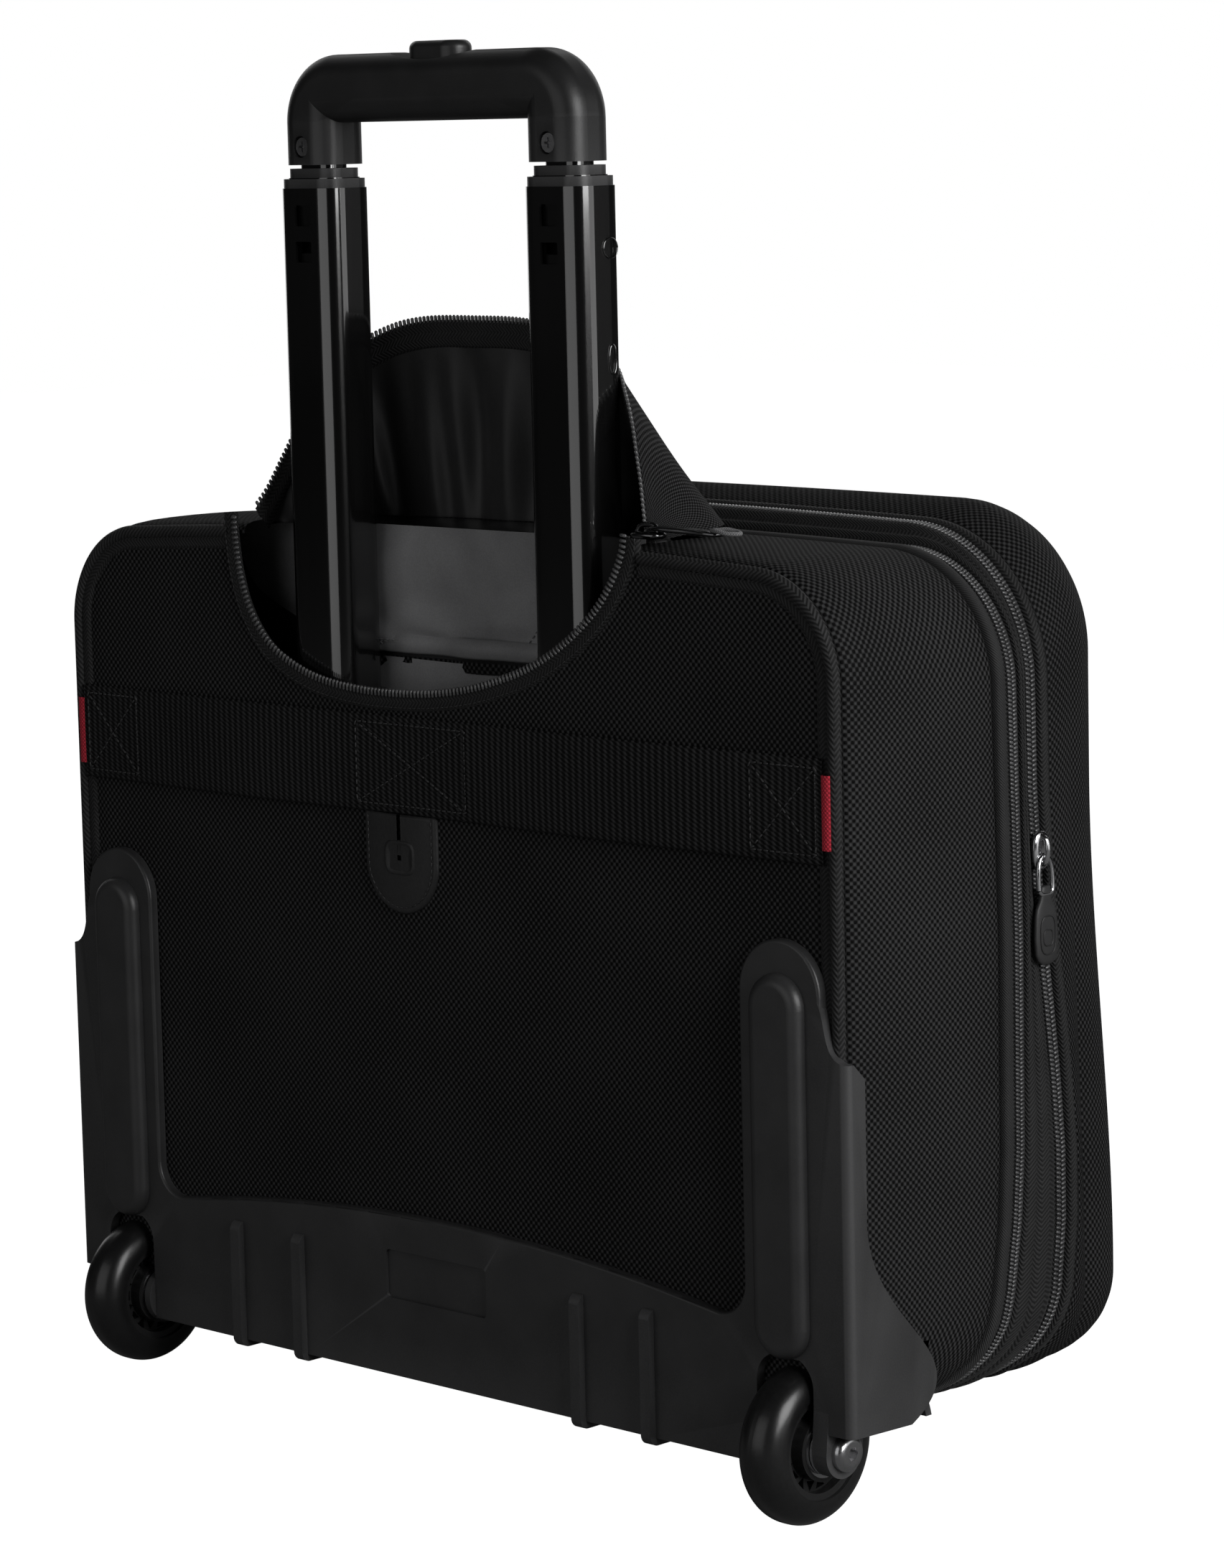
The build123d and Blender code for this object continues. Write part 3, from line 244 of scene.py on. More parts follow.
slot_finish = {
    "board": fibre_board, "moulded": plastic, "steel": steel, "alloy": bare_alloy, "anodised": black_tube,
    "grip": soft_plastic, "button": button_plastic, "tyre": rubber, "wheel_core": core_plastic,
    "nickel": nickel, "black_metal": gun_metal, "pull_rubber": pull_rubber, "leather": leather_skin,
    "red": red_web, "pad": pad_cloth,
    "fabric": cloth, "zip": tape, "lining": lining_grey, "webbing": webbing,
}
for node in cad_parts.values():
    for cad_slot in node.material_slots:
        cad_slot.material = slot_finish[cad_slot.name.split(".")[0]]

# ---------------------------------------------------------------- mesh helpers


def build(name, points, faces, uv, material):
    """Mesh object from points in mm, y from the back plane, with uv in mm for each point."""
    points = np.asarray(points, float).reshape(-1, 3)
    uv = np.asarray(uv, float).reshape(-1, 2) * MM
    mesh = bpy.data.meshes.new(name)
    mesh.from_pydata(((points + (0, back, 0)) * MM).tolist(), [], [tuple(map(int, f)) for f in faces])
    layer = mesh.uv_layers.new(name="UVMap")
    index = np.empty(len(mesh.loops), int)
    mesh.loops.foreach_get("vertex_index", index)
    layer.data.foreach_set("uv", uv[index].ravel())
    mesh.polygons.foreach_set("use_smooth", [True] * len(mesh.polygons))
    mesh.materials.append(material)
    piece = bpy.data.objects.new(name, mesh)
    bpy.context.scene.collection.objects.link(piece)
    return piece


def quads(rows, cols, flip=False, keep=None, wrap=False):
    """Faces of a grid of rows by cols points; keep says which cells stay."""
    faces = []
    for r in range(rows - 1):
        for c in range(cols if wrap else cols - 1):
            if keep is not None and not keep[r, c]:
                continue
            d = (c + 1) % cols
            face = (r * cols + c, r * cols + d, (r + 1) * cols + d, (r + 1) * cols + c)
            faces.append(face[::-1] if flip else face)
    return faces


def run_length(points, axis=0):
    """Distance along each line of points."""
    step = np.linalg.norm(np.diff(points, axis=axis), axis=-1)
    zero = np.zeros_like(np.take(step, [0], axis))
    return np.concatenate([zero, np.cumsum(step, axis)], axis)


def grid(name, points, material, flip=False, keep=None, uv=None):
    """Surface through a (rows, cols, 3) array of points."""
    points = np.asarray(points, float)
    if uv is None:
        middle = points.shape[1] // 2
        along = np.broadcast_to(run_length(points[0])[None, :], points.shape[:2])
        across = np.broadcast_to(run_length(points[:, middle])[:, None], points.shape[:2])
        uv = np.stack([along, across], -1)
    return build(name, points, quads(*points.shape[:2], flip, keep), uv, material)


def smooth(value, low, high):
    t = np.clip((np.asarray(value, float) - low) / (high - low), 0, 1)
    return t * t * (3 - 2 * t)


def curve_through(knots, count):
    """Evenly spaced points on a smooth curve through the knots."""
    knots = np.asarray(knots, float)
    ext = np.vstack([2 * knots[0] - knots[1], knots, 2 * knots[-1] - knots[-2]])
    out = []
    for i in range(1, len(ext) - 2):
        p0, p1, p2, p3 = ext[i - 1:i + 3]
        for t in np.linspace(0, 1, 24, endpoint=False):
            out.append(0.5 * (2 * p1 + (p2 - p0) * t + (2 * p0 - 5 * p1 + 4 * p2 - p3) * t**2
                              + (3 * p1 - p0 - 3 * p2 + p3) * t**3))
    out = np.array(out + [knots[-1]])
    run = run_length(out)
    even = np.linspace(0, run[-1], count)
    return np.stack([np.interp(even, run, out[:, i]) for i in range(out.shape[1])], -1)


def unit(v):
    return v / np.maximum(np.linalg.norm(v, axis=-1, keepdims=True), 1e-9)


def tangents(path):
    return unit(np.gradient(path, axis=0))


def sweep(name, path, out, side, section, material, closed=False, flip=False):
    """Section of (outward, sideways) offsets carried along a path."""
    section = np.asarray(section, float)
    if closed:
        section = np.vstack([section, section[:1]])
    points = (path[None] + section[:, 0, None, None] * out[None] + section[:, 1, None, None] * side[None])
    return grid(name, points, material, flip)


def circle(radius, count=10, squash=1.0):
    a = np.linspace(0, 2 * math.pi, count, endpoint=False)
    return np.stack([radius * np.cos(a) * squash, radius * np.sin(a)], -1)


def capsules(name, centres, along, across, size, material, sides=6):
    """Many small rounded bars in one mesh: coil teeth or stitches. size is (half length, radius)."""
    half, radius = size
    third = np.cross(along, across)
    stations = [(-1.0, 0.45), (-0.7, 1.0), (0.7, 1.0), (1.0, 0.45)]
    a = np.linspace(0, 2 * math.pi, sides, endpoint=False)
    rings = np.stack([
        centres[:, None] + along[:, None] * half * s
        + radius * w * (across[:, None] * np.cos(a)[None, :, None] + third[:, None] * np.sin(a)[None, :, None])
        for s, w in stations
    ], 1)
    one = quads(4, sides, wrap=True) + [tuple(range(sides))[::-1], tuple(range(3 * sides, 4 * sides))]
    faces = [tuple(v + i * 4 * sides for v in face) for i in range(len(centres)) for face in one]
    points = rings.reshape(-1, 3)
    return build(name, points, faces, points[:, :2], material)


def resample(path, extra, pitch):
    """Points every pitch along a path, with the vectors that go with them."""
    run = run_length(path)
    at = np.arange(pitch / 2, run[-1], pitch)
    take = [np.stack([np.interp(at, run, a[:, i]) for i in range(3)], -1) for a in (path, *extra)]
    return [take[0]] + [unit(a) for a in take[1:]]


def coil(name, path, out, side, pitch, width, radius, rows=(-1, 1)):
    """Coil zip: rows of slanted teeth beside the middle line of the path."""
    centre, normal, across = resample(path, (out, side), pitch)
    direction = tangents(centre)
    sets = []
    for row in rows:
        shift = 0.0 if row < 0 else 0.5
        bar = unit(across + 0.25 * row * direction)
        sets.append((centre + across * row * width * 0.52 + direction * shift * pitch, bar, normal))
    middle = np.vstack([s[0] for s in sets])
    return capsules(name, middle, np.vstack([s[1] for s in sets]), np.vstack([s[2] for s in sets]),
                    (width / 2, radius), teeth)


def stitches(name, path, out, pitch=3.2, length=1.1, radius=0.32, material=None):
    """Row of lockstitches lying on a surface."""
    centre, normal = resample(path, (out,), pitch)
    direction = tangents(centre)
    return capsules(name, centre + normal * 0.08, direction, normal, (length, radius), material or thread, 5)


pieces = {}


def part(piece, body, *nodes, slot=None):
    """Rides a finished piece on its body, and hides the CAD nodes it stands for."""
    pieces[piece.name] = (piece, body)
    if nodes:
        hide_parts(*nodes)
    return piece


# ---------------------------------------------------------------- outline of the case


def outline(half, bottom, top, top_radius, bottom_radius, dome):
    """Rounded outline from the bottom centre round to itself, right side first."""
    runs = []
    low = np.linspace(0, half - bottom_radius, 40, endpoint=False)
    runs.append(np.stack([low, np.full(40, bottom)], -1))
    a = np.linspace(-math.pi / 2, 0, 26, endpoint=False)
    runs.append(np.stack([half - bottom_radius + bottom_radius * np.cos(a),
                          bottom + bottom_radius + bottom_radius * np.sin(a)], -1))
    rise = np.linspace(bottom + bottom_radius, top - top_radius, 70, endpoint=False)
    runs.append(np.stack([np.full(70, half), rise], -1))
    a = np.linspace(0, math.pi / 2, 34, endpoint=False)
    runs.append(np.stack([half - top_radius + top_radius * np.cos(a),
                          top - top_radius + top_radius * np.sin(a)], -1))
    flat = np.linspace(half - top_radius, 0, 60)
    runs.append(np.stack([flat, top + dome * (1 - (flat / (half - top_radius)) ** 2)], -1))
    right = np.vstack(runs)
    left = right[::-1][1:] * (-1, 1)
    return np.vstack([right, left])


LEVELS = [
    (210.8, 37.0, 351.0, 42.0, 34.0, 5.0),
    (212.8, 33.0, 350.5, 48.0, 36.0, 2.5),
    (211.4, 32.0, 358.0, 58.0, 38.0, 2.5),
    (210.6, 33.0, 364.0, 56.0, 36.0, 1.0),
]


def ring_row(level, y, off=0.0, inset=0.0, lean=0.0):
    """One ring of points: level blends the outlines, off stands out from it, inset shrinks it whole."""
    i = min(int(level), len(LEVELS) - 2)
    t = level - i
    half, low, top, rt, rb, dome = [(1 - t) * a + t * b for a, b in zip(LEVELS[i], LEVELS[i + 1])]
    flat = outline(half - inset, low + 0.36 * inset, top - 0.7 * inset, max(rt - 0.6 * inset, 14),
                   max(rb - 0.5 * inset, 12), dome)
    along = unit(np.gradient(flat, axis=0))
    normal = np.stack([along[:, 1], -along[:, 0]], -1)
    flat = flat + normal * off
    depth = y(flat[:, 1]) if callable(y) else np.full(len(flat), float(y))
    points = np.stack([flat[:, 0], depth, flat[:, 1]], -1)
    return points, np.stack([normal[:, 0], 0 * depth, normal[:, 1]], -1)


def table(pairs):
    z, y = zip(*pairs)
    return lambda height, shift=0.0: np.interp(height, z, y) + shift


chain_a = table([(38, 64), (43, 73), (51, 79.5), (62, 84), (75, 87.5), (100, 91.5), (127, 93.5), (208, 94),
                 (262, 92.5), (300, 91.5), (340, 89.5), (358, 88)])
chain_b = table([(38, 101), (42, 105), (47, 109), (56, 112.5), (69, 116), (96, 119), (123, 119), (151, 116.5),
                 (179, 113), (207, 109), (234, 106.5), (261, 104.5), (300, 104), (360, 104)])


def beside(chain, shift):
    return lambda height: chain(height, shift)


def skin(name, rows, material, keep=None):
    """Band of the case between rows of (level, y, off)."""
    points = np.stack([ring_row(level, y, off)[0] for level, y, off in rows])
    return grid(name, points, material, keep=keep)


# gusset round the main compartment, cut away at the mouth in the top
gusset_rows = []
for share, off in ((0.0, -4.5), (0.0, -2.5), (0.02, -0.9), (0.06, 0.0), (0.14, 0.7), (0.25, 1.1), (0.38, 1.3),
                   (0.5, 1.3), (0.62, 1.2), (0.74, 0.9), (0.84, 0.5), (0.91, 0.0), (0.95, -0.8),
                   (0.955, -2.6)):
    gusset_rows.append((0.95 * share, (lambda s: lambda z: 1.5 + s * (chain_a(z) - 8.5))(share), off))
sample = np.stack([ring_row(*row)[0] for row in gusset_rows])
centre_of_cell = (sample[:-1, :-1] + sample[1:, 1:]) / 2
cell_x, cell_y, cell_z = np.abs(centre_of_cell[..., 0]), centre_of_cell[..., 1], centre_of_cell[..., 2]
in_mouth = (cell_x < 107) & (cell_z > 300) & (cell_y < 46)
wheel_gap = (cell_x > 163) & (cell_z < 66) & (cell_y < 38)
part(skin("gusset", gusset_rows, cloth, ~(in_mouth | wheel_gap)), "case", "main_section", slot="fabric")

# welts, tapes and coils of the two zips round the case
for tag, level, chain, node, width, pitch in (
    ("main", 1.0, chain_a, "main_zipper", 2.3, 1.55),
    ("front", 2.0, chain_b, "front_zipper", 2.7, 1.75),
):
    bed = skin(f"{tag}_zip_tape", [(level, beside(chain, s), o) for s, o in
                                   ((-4.4, -2.6), (-3.9, -1.5), (-2.0, -1.2), (0, -1.1), (2.0, -1.2), (3.9, -1.5),
                                    (4.4, -2.6))], tape)
    part(bed, "case", node, slot="zip")
    path, normal = ring_row(level, chain, -0.75)
    side = np.zeros_like(normal)
    side[:, 1] = 1
    part(coil(f"{tag}_zip_coil", path, normal, side, pitch, width, 0.62), "case", slot="zip")
welt_shape = ((-9.4, -2.4), (-9.2, -0.6), (-8.4, 0.5), (-7.0, 0.9), (-5.6, 0.8), (-4.6, 0.1), (-4.2, -1.6))
part(skin("main_welt", [(1.0, beside(chain_a, s), o) for s, o in welt_shape], welt_cloth), "case", slot="fabric")
between = []
for share, off in ((0.0, -2.4), (0.02, -0.5), (0.10, 0.2), (0.24, 0.4), (0.34, 0.2), (0.40, -0.5), (0.43, 0.3),
                   (0.55, 0.7), (0.72, 0.8), (0.88, 0.6), (0.97, 0.0), (1.0, -2.2)):
    between.append((1.0 + share,
                    (lambda s: lambda z: (1 - s) * (chain_a(z) + 4.2) + s * (chain_b(z) - 4.4))(share), off))
part(skin("middle_band", between, tape), "case", "middle_section", slot="fabric")
front_welt = [(2.0, beside(chain_b, s), o) for s, o in
              ((4.2, -2.2), (4.4, -0.2), (5.2, 0.6), (6.6, 0.9), (8.2, 0.6), (9.0, 0.0), (9.4, -1.8))]
part(skin("front_welt", front_welt, tape), "case", slot="fabric")

# front section, domed, leaning back towards the top
DEPTH = 182.4
ROUND = 50.0


def lean_back(points):
    high = smooth(points[:, 2], 70, 260)
    beyond = np.clip(points[:, 1] - 112, 0, None)
    points[:, 1] -= beyond * 0.13 * high
    points[:, 0] *= 1 - 0.022 * high * np.clip(beyond / 40, 0, 1)
    return points


front_rows = [ring_row(2.0, beside(chain_b, 9.2), -2.2)[0], ring_row(2.05, beside(chain_b, 9.5), -0.3)[0],
              ring_row(2.1, beside(chain_b, 10.6), 0.3)[0]]
for t in np.linspace(0.15, 1, 5):
    start = beside(chain_b, 11.0)
    front_rows.append(ring_row(2.1 + 0.9 * t, (lambda t: lambda z: (1 - t) * start(z) + t * (DEPTH - ROUND))(t),
                               0.4 + 0.8 * math.sin(math.pi * t))[0])
for a in np.linspace(0.12, math.pi / 2, 12):
    front_rows.append(ring_row(3.0, DEPTH - ROUND + ROUND * math.sin(a), 0.4, ROUND * (1 - math.cos(a)))[0])
front_rows = np.stack([lean_back(r.copy()) for r in front_rows])
front_shell = grid("front_shell", front_rows, cloth_front)
part(front_shell, "case", "front_section", slot="fabric")
rim = front_rows[-1]
centre = np.array([0, 0, 200.0])
face_rows = []
for f in (1.0, 0.97, 0.85, 0.7, 0.5, 0.3, 0.12, 0.01):
    row = rim * (f, 1, f) + centre * (1 - f)
    row[:, 1] = (1 - f) * (DEPTH - 8.0 * smooth(row[:, 2], 70, 260)) + f * rim[:, 1]
    face_rows.append(row)
face_rows = np.stack(face_rows)
front_face = grid("front_face", face_rows, cloth_front, uv=face_rows[..., [0, 2]])
part(front_face, "case", slot="fabric")

# ---------------------------------------------------------------- back panel and the mouth
mouth_rim = curve_through([(-108.5, 358), (-108, 348), (-105.5, 333), (-100, 319), (-90, 307), (-76, 299),
                           (-58, 293.6), (-32, 291), (-3, 291.6), (20, 294.5), (37, 298.6), (54, 304.2),
                           (70, 312), (84, 321.5), (95, 331.5), (103, 342.5), (107.5, 352), (108.5, 358)], 220)
turn = int(np.argmin(mouth_rim[:, 1]))
lowest = mouth_rim[turn, 1]
edge_ring = ring_row(0.0, 0.0, -3.2)[0]
right_edge = edge_ring[edge_ring[:, 0] > 20]
side_line = right_edge[(right_edge[:, 2] > 38.2)]
order = np.argsort(side_line[:, 2])


def reach(z):
    """Half width of the panel at a height."""
    return np.interp(z, side_line[order, 2], side_line[order, 0])


def panel_face(x, z):
    """Back surface of the panel: a shallow crown with a soft unevenness."""
    edge = np.minimum(reach(z) - np.abs(x), np.minimum(z - 36, 360 - z))
    crown = 1.3 * smooth(edge, 0, 16)
    wave = 0.35 * np.sin(x / 31.0 + 0.6 * np.sin(z / 47.0)) * np.sin(z / 39.0 + 1.0)
    return -0.5 - crown - wave * smooth(edge, 5, 40)


def panel_patch(left, right, heights, cols):
    t = np.linspace(0, 1, cols)
    x = left(heights)[:, None] * (1 - t) + right(heights)[:, None] * t
    z = np.broadcast_to(heights[:, None], x.shape)
    points = np.stack([x, panel_face(x, z), z], -1)
    return points


upper = mouth_rim[:turn + 1][::-1]
lower = mouth_rim[turn:]
left_rim = lambda z: np.interp(z, upper[:, 1], upper[:, 0])
right_rim = lambda z: np.interp(z, lower[:, 1], lower[:, 0])
levels_low = np.linspace(39, lowest, 90)
levels_high = lowest + (353.5 - lowest) * np.linspace(0, 1, 46) ** 1.5
patches = [panel_patch(lambda z: -reach(z), reach, levels_low, 120),
           panel_patch(lambda z: np.minimum(-reach(z), left_rim(z)), left_rim, levels_high, 50),
           panel_patch(right_rim, lambda z: np.maximum(reach(z), right_rim(z)), levels_high, 50)]
vertices, faces = [], []
for patch in patches:
    start = sum(len(v) for v in vertices)
    faces += [tuple(start + i for i in f) for f in quads(*patch.shape[:2])]
    vertices.append(patch.reshape(-1, 3))
vertices = np.vstack(vertices)
panel = part(build("panel", vertices, faces, vertices[:, [0, 2]], cloth), "case", "back_panel", slot="fabric")

# zip edge of the mouth: a flat tape raised along the rim and one row of open teeth
rim_path = np.stack([mouth_rim[:, 0], np.full(len(mouth_rim), -2.1), mouth_rim[:, 1]], -1)
rim_along = tangents(rim_path)
rim_out = np.tile((0.0, -1.0, 0.0), (len(rim_path), 1))
rim_side = unit(np.cross(rim_along, rim_out))
if rim_side[turn, 2] > 0:
    rim_side = -rim_side
mouth_tape = sweep("mouth_tape", rim_path, rim_out, rim_side,
                   [(-2.4, -0.4), (-0.4, -0.9), (0.35, 0.0), (0.75, 1.4), (0.7, 3.4), (0.4, 5.2), (-0.4, 6.0),
                    (-1.6, 6.2)], tape)
part(mouth_tape, "case", "scoop_zipper", slot="zip")
part(coil("mouth_coil", rim_path + rim_out * 0.7 - rim_side * 1.0, rim_out, rim_side, 2.0, 3.2, 0.7, rows=(0,)),
     "case", slot="zip")
part(stitches("mouth_stitch", rim_path + rim_side * 4.6 + rim_out * 0.45, rim_out, 2.6, 0.9, 0.22), "case")

# piping round the edge of the panel, open at the mouth
pipe_ring, pipe_normal = ring_row(0.0, -0.9, -3.4)
right_end = np.where((pipe_ring[:, 2] > 330) & (pipe_ring[:, 0] < 112))[0][0]
left_start = np.where((pipe_ring[:, 2] > 330) & (pipe_ring[:, 0] < -110))[0][0]
low_right = np.where(pipe_ring[:, 2] > 60)[0][0]
low_left = len(pipe_ring) - low_right
for tag, a, b in (("right", low_right, right_end), ("left", left_start, low_left)):
    path, normal = pipe_ring[a:b], pipe_normal[a:b]
    side = np.tile((0.0, 1.0, 0.0), (len(path), 1))
    bead = sweep(f"{tag}_piping", path, normal, side, circle(2.5, 12), piping_cover, closed=True, flip=True)
    flat = sweep(f"{tag}_piping_tape", path, normal, side,
                 [(-7.6, 0.6), (-7.2, -0.8), (-5.6, -1.3), (-3.6, -1.2), (-2.0, -0.6)], tape)
    if tag == "right":
        part(bead, "case", "back_piping", slot="fabric")
    else:
        part(bead, "case", slot="fabric")
    part(flat, "case", slot="fabric")

# ---------------------------------------------------------------- lining behind the handle


def cloth_grid(name, left, right, rows, cols, depth, material, flip=False):
    """Hanging cloth between two edge lines, each a list of (x, y, z) from top to bottom."""
    a, b = curve_through(left, rows), curve_through(right, rows)
    t = np.linspace(0, 1, cols)[None, :, None]
    points = a[:, None] * (1 - t) + b[:, None] * t
    u = np.broadcast_to(np.linspace(0, 1, cols)[None], points.shape[:2])
    v = np.broadcast_to(np.linspace(0, 1, rows)[:, None], points.shape[:2])
    points = points.copy()
    points[..., 1] += depth(u, v)
    return grid(name, points, material, flip), points


def folds(u, v):
    return (-0.3 + 0.9 * np.sin(9.0 * u + 5.2 * v) * v + 0.8 * np.sin(23 * u - 9.0 * v + 0.7) * v
            + 0.9 * np.sin(13.0 * v + 6 * u) * u * (1 - u) * 4)


lining, lining_points = cloth_grid(
    "handle_lining",
    [(-140, 28, 353), (-138, 28, 338), (-128, 28, 324), (-104, 28, 313), (-76, 28, 303)],
    [(106, 28, 354), (104, 28, 340), (94, 28, 325), (76, 28, 314), (52, 28, 304)],
    44, 90, folds, lining_grey)
part(lining, "case", "trolley_lining", slot="lining")
hem = lining_points[-1]
hem_out = np.tile((0.0, -1.0, 0.0), (len(hem), 1))
hem_side = np.tile((0.0, 0.0, -1.0), (len(hem), 1))
hem_strip = sweep("lining_hem", hem, hem_out, hem_side, [(-0.6, -7.5), (1.4, -7.0), (1.9, -3.5), (1.7, -0.6),
                                                         (0.4, 0.3), (-0.8, 0.0)], lining_grey)
part(hem_strip, "case", slot="lining")
closer = sweep("hem_closer", hem + (0, 1.0, -1.6), hem_out, hem_side, [(0.8, 0.0), (1.0, 2.4), (0.6, 4.6)],
               cloth)
part(closer, "case", slot="fabric")
below, below_points = cloth_grid(
    "lower_lining", [(-84, 28, 301), (-76, 28, 288), (-66, 28, 274)],
    [(62, 28, 301), (56, 28, 288), (50, 28, 274)],
    12, 60, lambda u, v: 1.4 * np.sin(9 * u + 2 * v), lining_grey)
part(below, "case", slot="lining")
for tag, row in (("a", -8), ("b", -7)):
    line = lining_points[row] + (0, -0.5, 0)
    part(stitches(f"lining_stitch_{tag}", line, hem_out, 2.8, 0.8, 0.25, lining_grey), "case")
for tag, u in (("left", 18), ("right", 66)):
    line = lining_points[:-4, u] + (0, -0.5, 0)
    part(stitches(f"lining_seam_{tag}", line, np.tile((0.0, -1.0, 0.0), (len(line), 1)), 2.8, 0.8, 0.25,
                  lining_grey), "case")

# ---------------------------------------------------------------- hood that covers the mouth
hood_edge = curve_through([(-107, 9, 358), (-103.5, 13, 366), (-98.5, 17, 378), (-93, 21, 390), (-85, 26, 404),
                           (-72, 32, 420), (-56, 37, 428.5), (-38, 40, 432), (-12, 41, 432.5), (14, 41, 432),
                           (38, 39, 429), (60, 34, 424.5), (78, 27, 416), (88, 21, 407), (95, 17, 397),
                           (100, 14, 386), (104, 12, 374), (108.5, 9, 358)], 260)
hood_base = curve_through([(-107, 11, 355), (-108, 26, 356), (-105, 42, 356.5), (-96, 53, 357), (-74, 58, 357),
                           (-38, 60, 357), (0, 61, 357), (38, 61, 357), (74, 62, 357), (97, 60, 358),
                           (109, 48, 358), (112, 30, 357), (109, 11, 355)], 260)
hood_in = curve_through([(-106, 13, 352), (-104, 24, 352), (-98, 34, 352), (-84, 41, 352), (-60, 45, 351.5),
                         (-30, 46, 351), (0, 46, 350.5), (30, 46, 351), (60, 45, 351.5), (84, 41, 352),
                         (98, 34, 352), (104, 24, 352), (106, 13, 352)], 260)
run = np.linspace(0, 1, 260)
swell = np.sin(math.pi * run)


def hood_wall(name, top, bottom, bulge, material, rows, wrinkle, flip):
    v = np.linspace(0, 1, rows)[:, None, None]
    points = top[None] * (1 - v) + bottom[None] * v
    outward = unit(np.stack([top[:, 0] * 0.012, np.full(len(top), 1.0), 0 * top[:, 0]], -1))
    points = points + outward[None] * (bulge * np.sin(math.pi * v) * swell[None, :, None])
    points = points + outward[None] * wrinkle(run[None, :], v[..., 0])[..., None]
    return grid(name, points, material, flip)


def outer_creases(u, v):
    return 1.2 * np.sin(19 * u + 3 * v) * np.sin(math.pi * v) * v


def gathers(u, v):
    wave = (2.2 * np.sin(46 * u + 1.5 * v) + 1.5 * np.sin(71 * u + 1.0) + 0.9 * np.sin(113 * u + 2.0 * v + 2))
    return wave * np.sin(math.pi * np.clip(v * 0.85 + 0.02, 0, 1)) ** 0.8


part(hood_wall("hood_outer", hood_edge, hood_base, 2.5, cloth, 40, outer_creases, False), "flap", "mouth_flap",
     slot="fabric")
edge_down = unit(hood_in - hood_edge)
tape_low = hood_edge + edge_down * 10.0
edge_back = unit(np.cross(tangents(hood_edge), edge_down))
if edge_back[130, 1] > 0:
    edge_back = -edge_back
hood_tape = sweep("hood_tape", hood_edge, edge_back, edge_down,
                  [(-0.6, -0.6), (0.5, -0.5), (0.9, 0.8), (0.8, 3.6), (1.1, 4.0), (0.9, 8.6), (0.5, 9.8),
                   (-0.3, 10.2)], tape, flip=True)
part(hood_tape, "flap", slot="zip")
part(coil("hood_coil", hood_edge - edge_down * 1.1 + edge_back * 0.3, edge_back, edge_down, 2.0, 3.0, 0.7,
          rows=(0,)), "flap", slot="zip")
hood_lining = hood_wall("hood_lining", tape_low - edge_back * 0.2, hood_in, 1.0, lining_black, 40, gathers,
                        True)
part(hood_lining, "flap", slot="lining")

# ---------------------------------------------------------------- webbing strap, its tabs and the leather tab
low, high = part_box("luggage_strap")
strap_low, strap_high, strap_half = low.z / MM, high.z / MM, high.x / MM
strap_mid = (strap_low + strap_high) / 2


def strap_face(x):
    """The band lies on the panel at its ends and middle and stands off a little between."""
    loose = np.sin(math.pi * np.clip(np.abs(x) / strap_half, 0, 1)) ** 2
    return -3.0 - 2.2 * loose


xs = np.linspace(-strap_half, strap_half, 200)
strap_path = np.stack([xs, strap_face(xs), np.full(200, strap_mid)], -1)
strap_out = np.tile((0.0, -1.0, 0.0), (200, 1))
strap_up = np.tile((0.0, 0.0, 1.0), (200, 1))
h = (strap_high - strap_low) / 2
strap = sweep("strap", strap_path, strap_out, strap_up,
              [(-1.2, -h + 0.4), (-0.2, -h), (0.45, -h + 0.7), (0.55, -h + 3.0), (0.7, -h + 8), (0.75, 0.0),
               (0.7, h - 8), (0.55, h - 3.0), (0.45, h - 0.7), (-0.2, h), (-1.2, h - 0.4)], webbing)
part(strap, "case", "luggage_strap", slot="webbing")


def flat_line(points, lift=0.9):
    """Line of stitching on the strap through (x, z) points."""
    line = []
    for (xa, za), (xb, zb) in zip(points, points[1:]):
        n = max(int(math.hypot(xb - xa, zb - za) / 2), 2)
        for t in np.linspace(0, 1, n, endpoint=False):
            x, z = xa + (xb - xa) * t, za + (zb - za) * t
            line.append((x, strap_face(np.array(x)) - lift, z))
    return np.array(line)


for tag, left, right in (("left", -strap_half + 3, -strap_half + 34), ("middle", -38.0, 22.0),
                         ("right", strap_half - 34, strap_half - 3)):
    a, b = strap_low + 3.5, strap_high - 3.5
    route = flat_line([(left, a), (right, a), (right, b), (left, b), (left, a), (right, b), (right, a),
                       (left, b)])
    outward = np.tile((0.0, -1.0, 0.0), (len(route), 1))
    part(stitches(f"strap_stitch_{tag}", route, outward, 2.9, 1.0, 0.34), "case")

for tag, sign in (("left", -1), ("right", 1)):
    x0 = sign * (strap_half + 1.6)
    zs = np.linspace(strap_mid - 13.5, strap_mid + 13.5, 24)
    path = np.stack([np.full(24, x0), np.full(24, -3.0), zs], -1)
    out = np.tile((0.0, -1.0, 0.0), (24, 1))
    side = np.tile((1.0, 0.0, 0.0), (24, 1))
    bar = sweep(f"{tag}_red_bar", path, out, side, [(-1.0, -2.4), (0.3, -2.3), (0.9, -1.6), (1.15, 0.0),
                                                    (0.9, 1.6), (0.3, 2.3), (-1.0, 2.4)], red_web)
    if tag == "right":
        part(bar, "case", "strap_end_tabs", slot="red")
    else:
        part(bar, "case", slot="red")

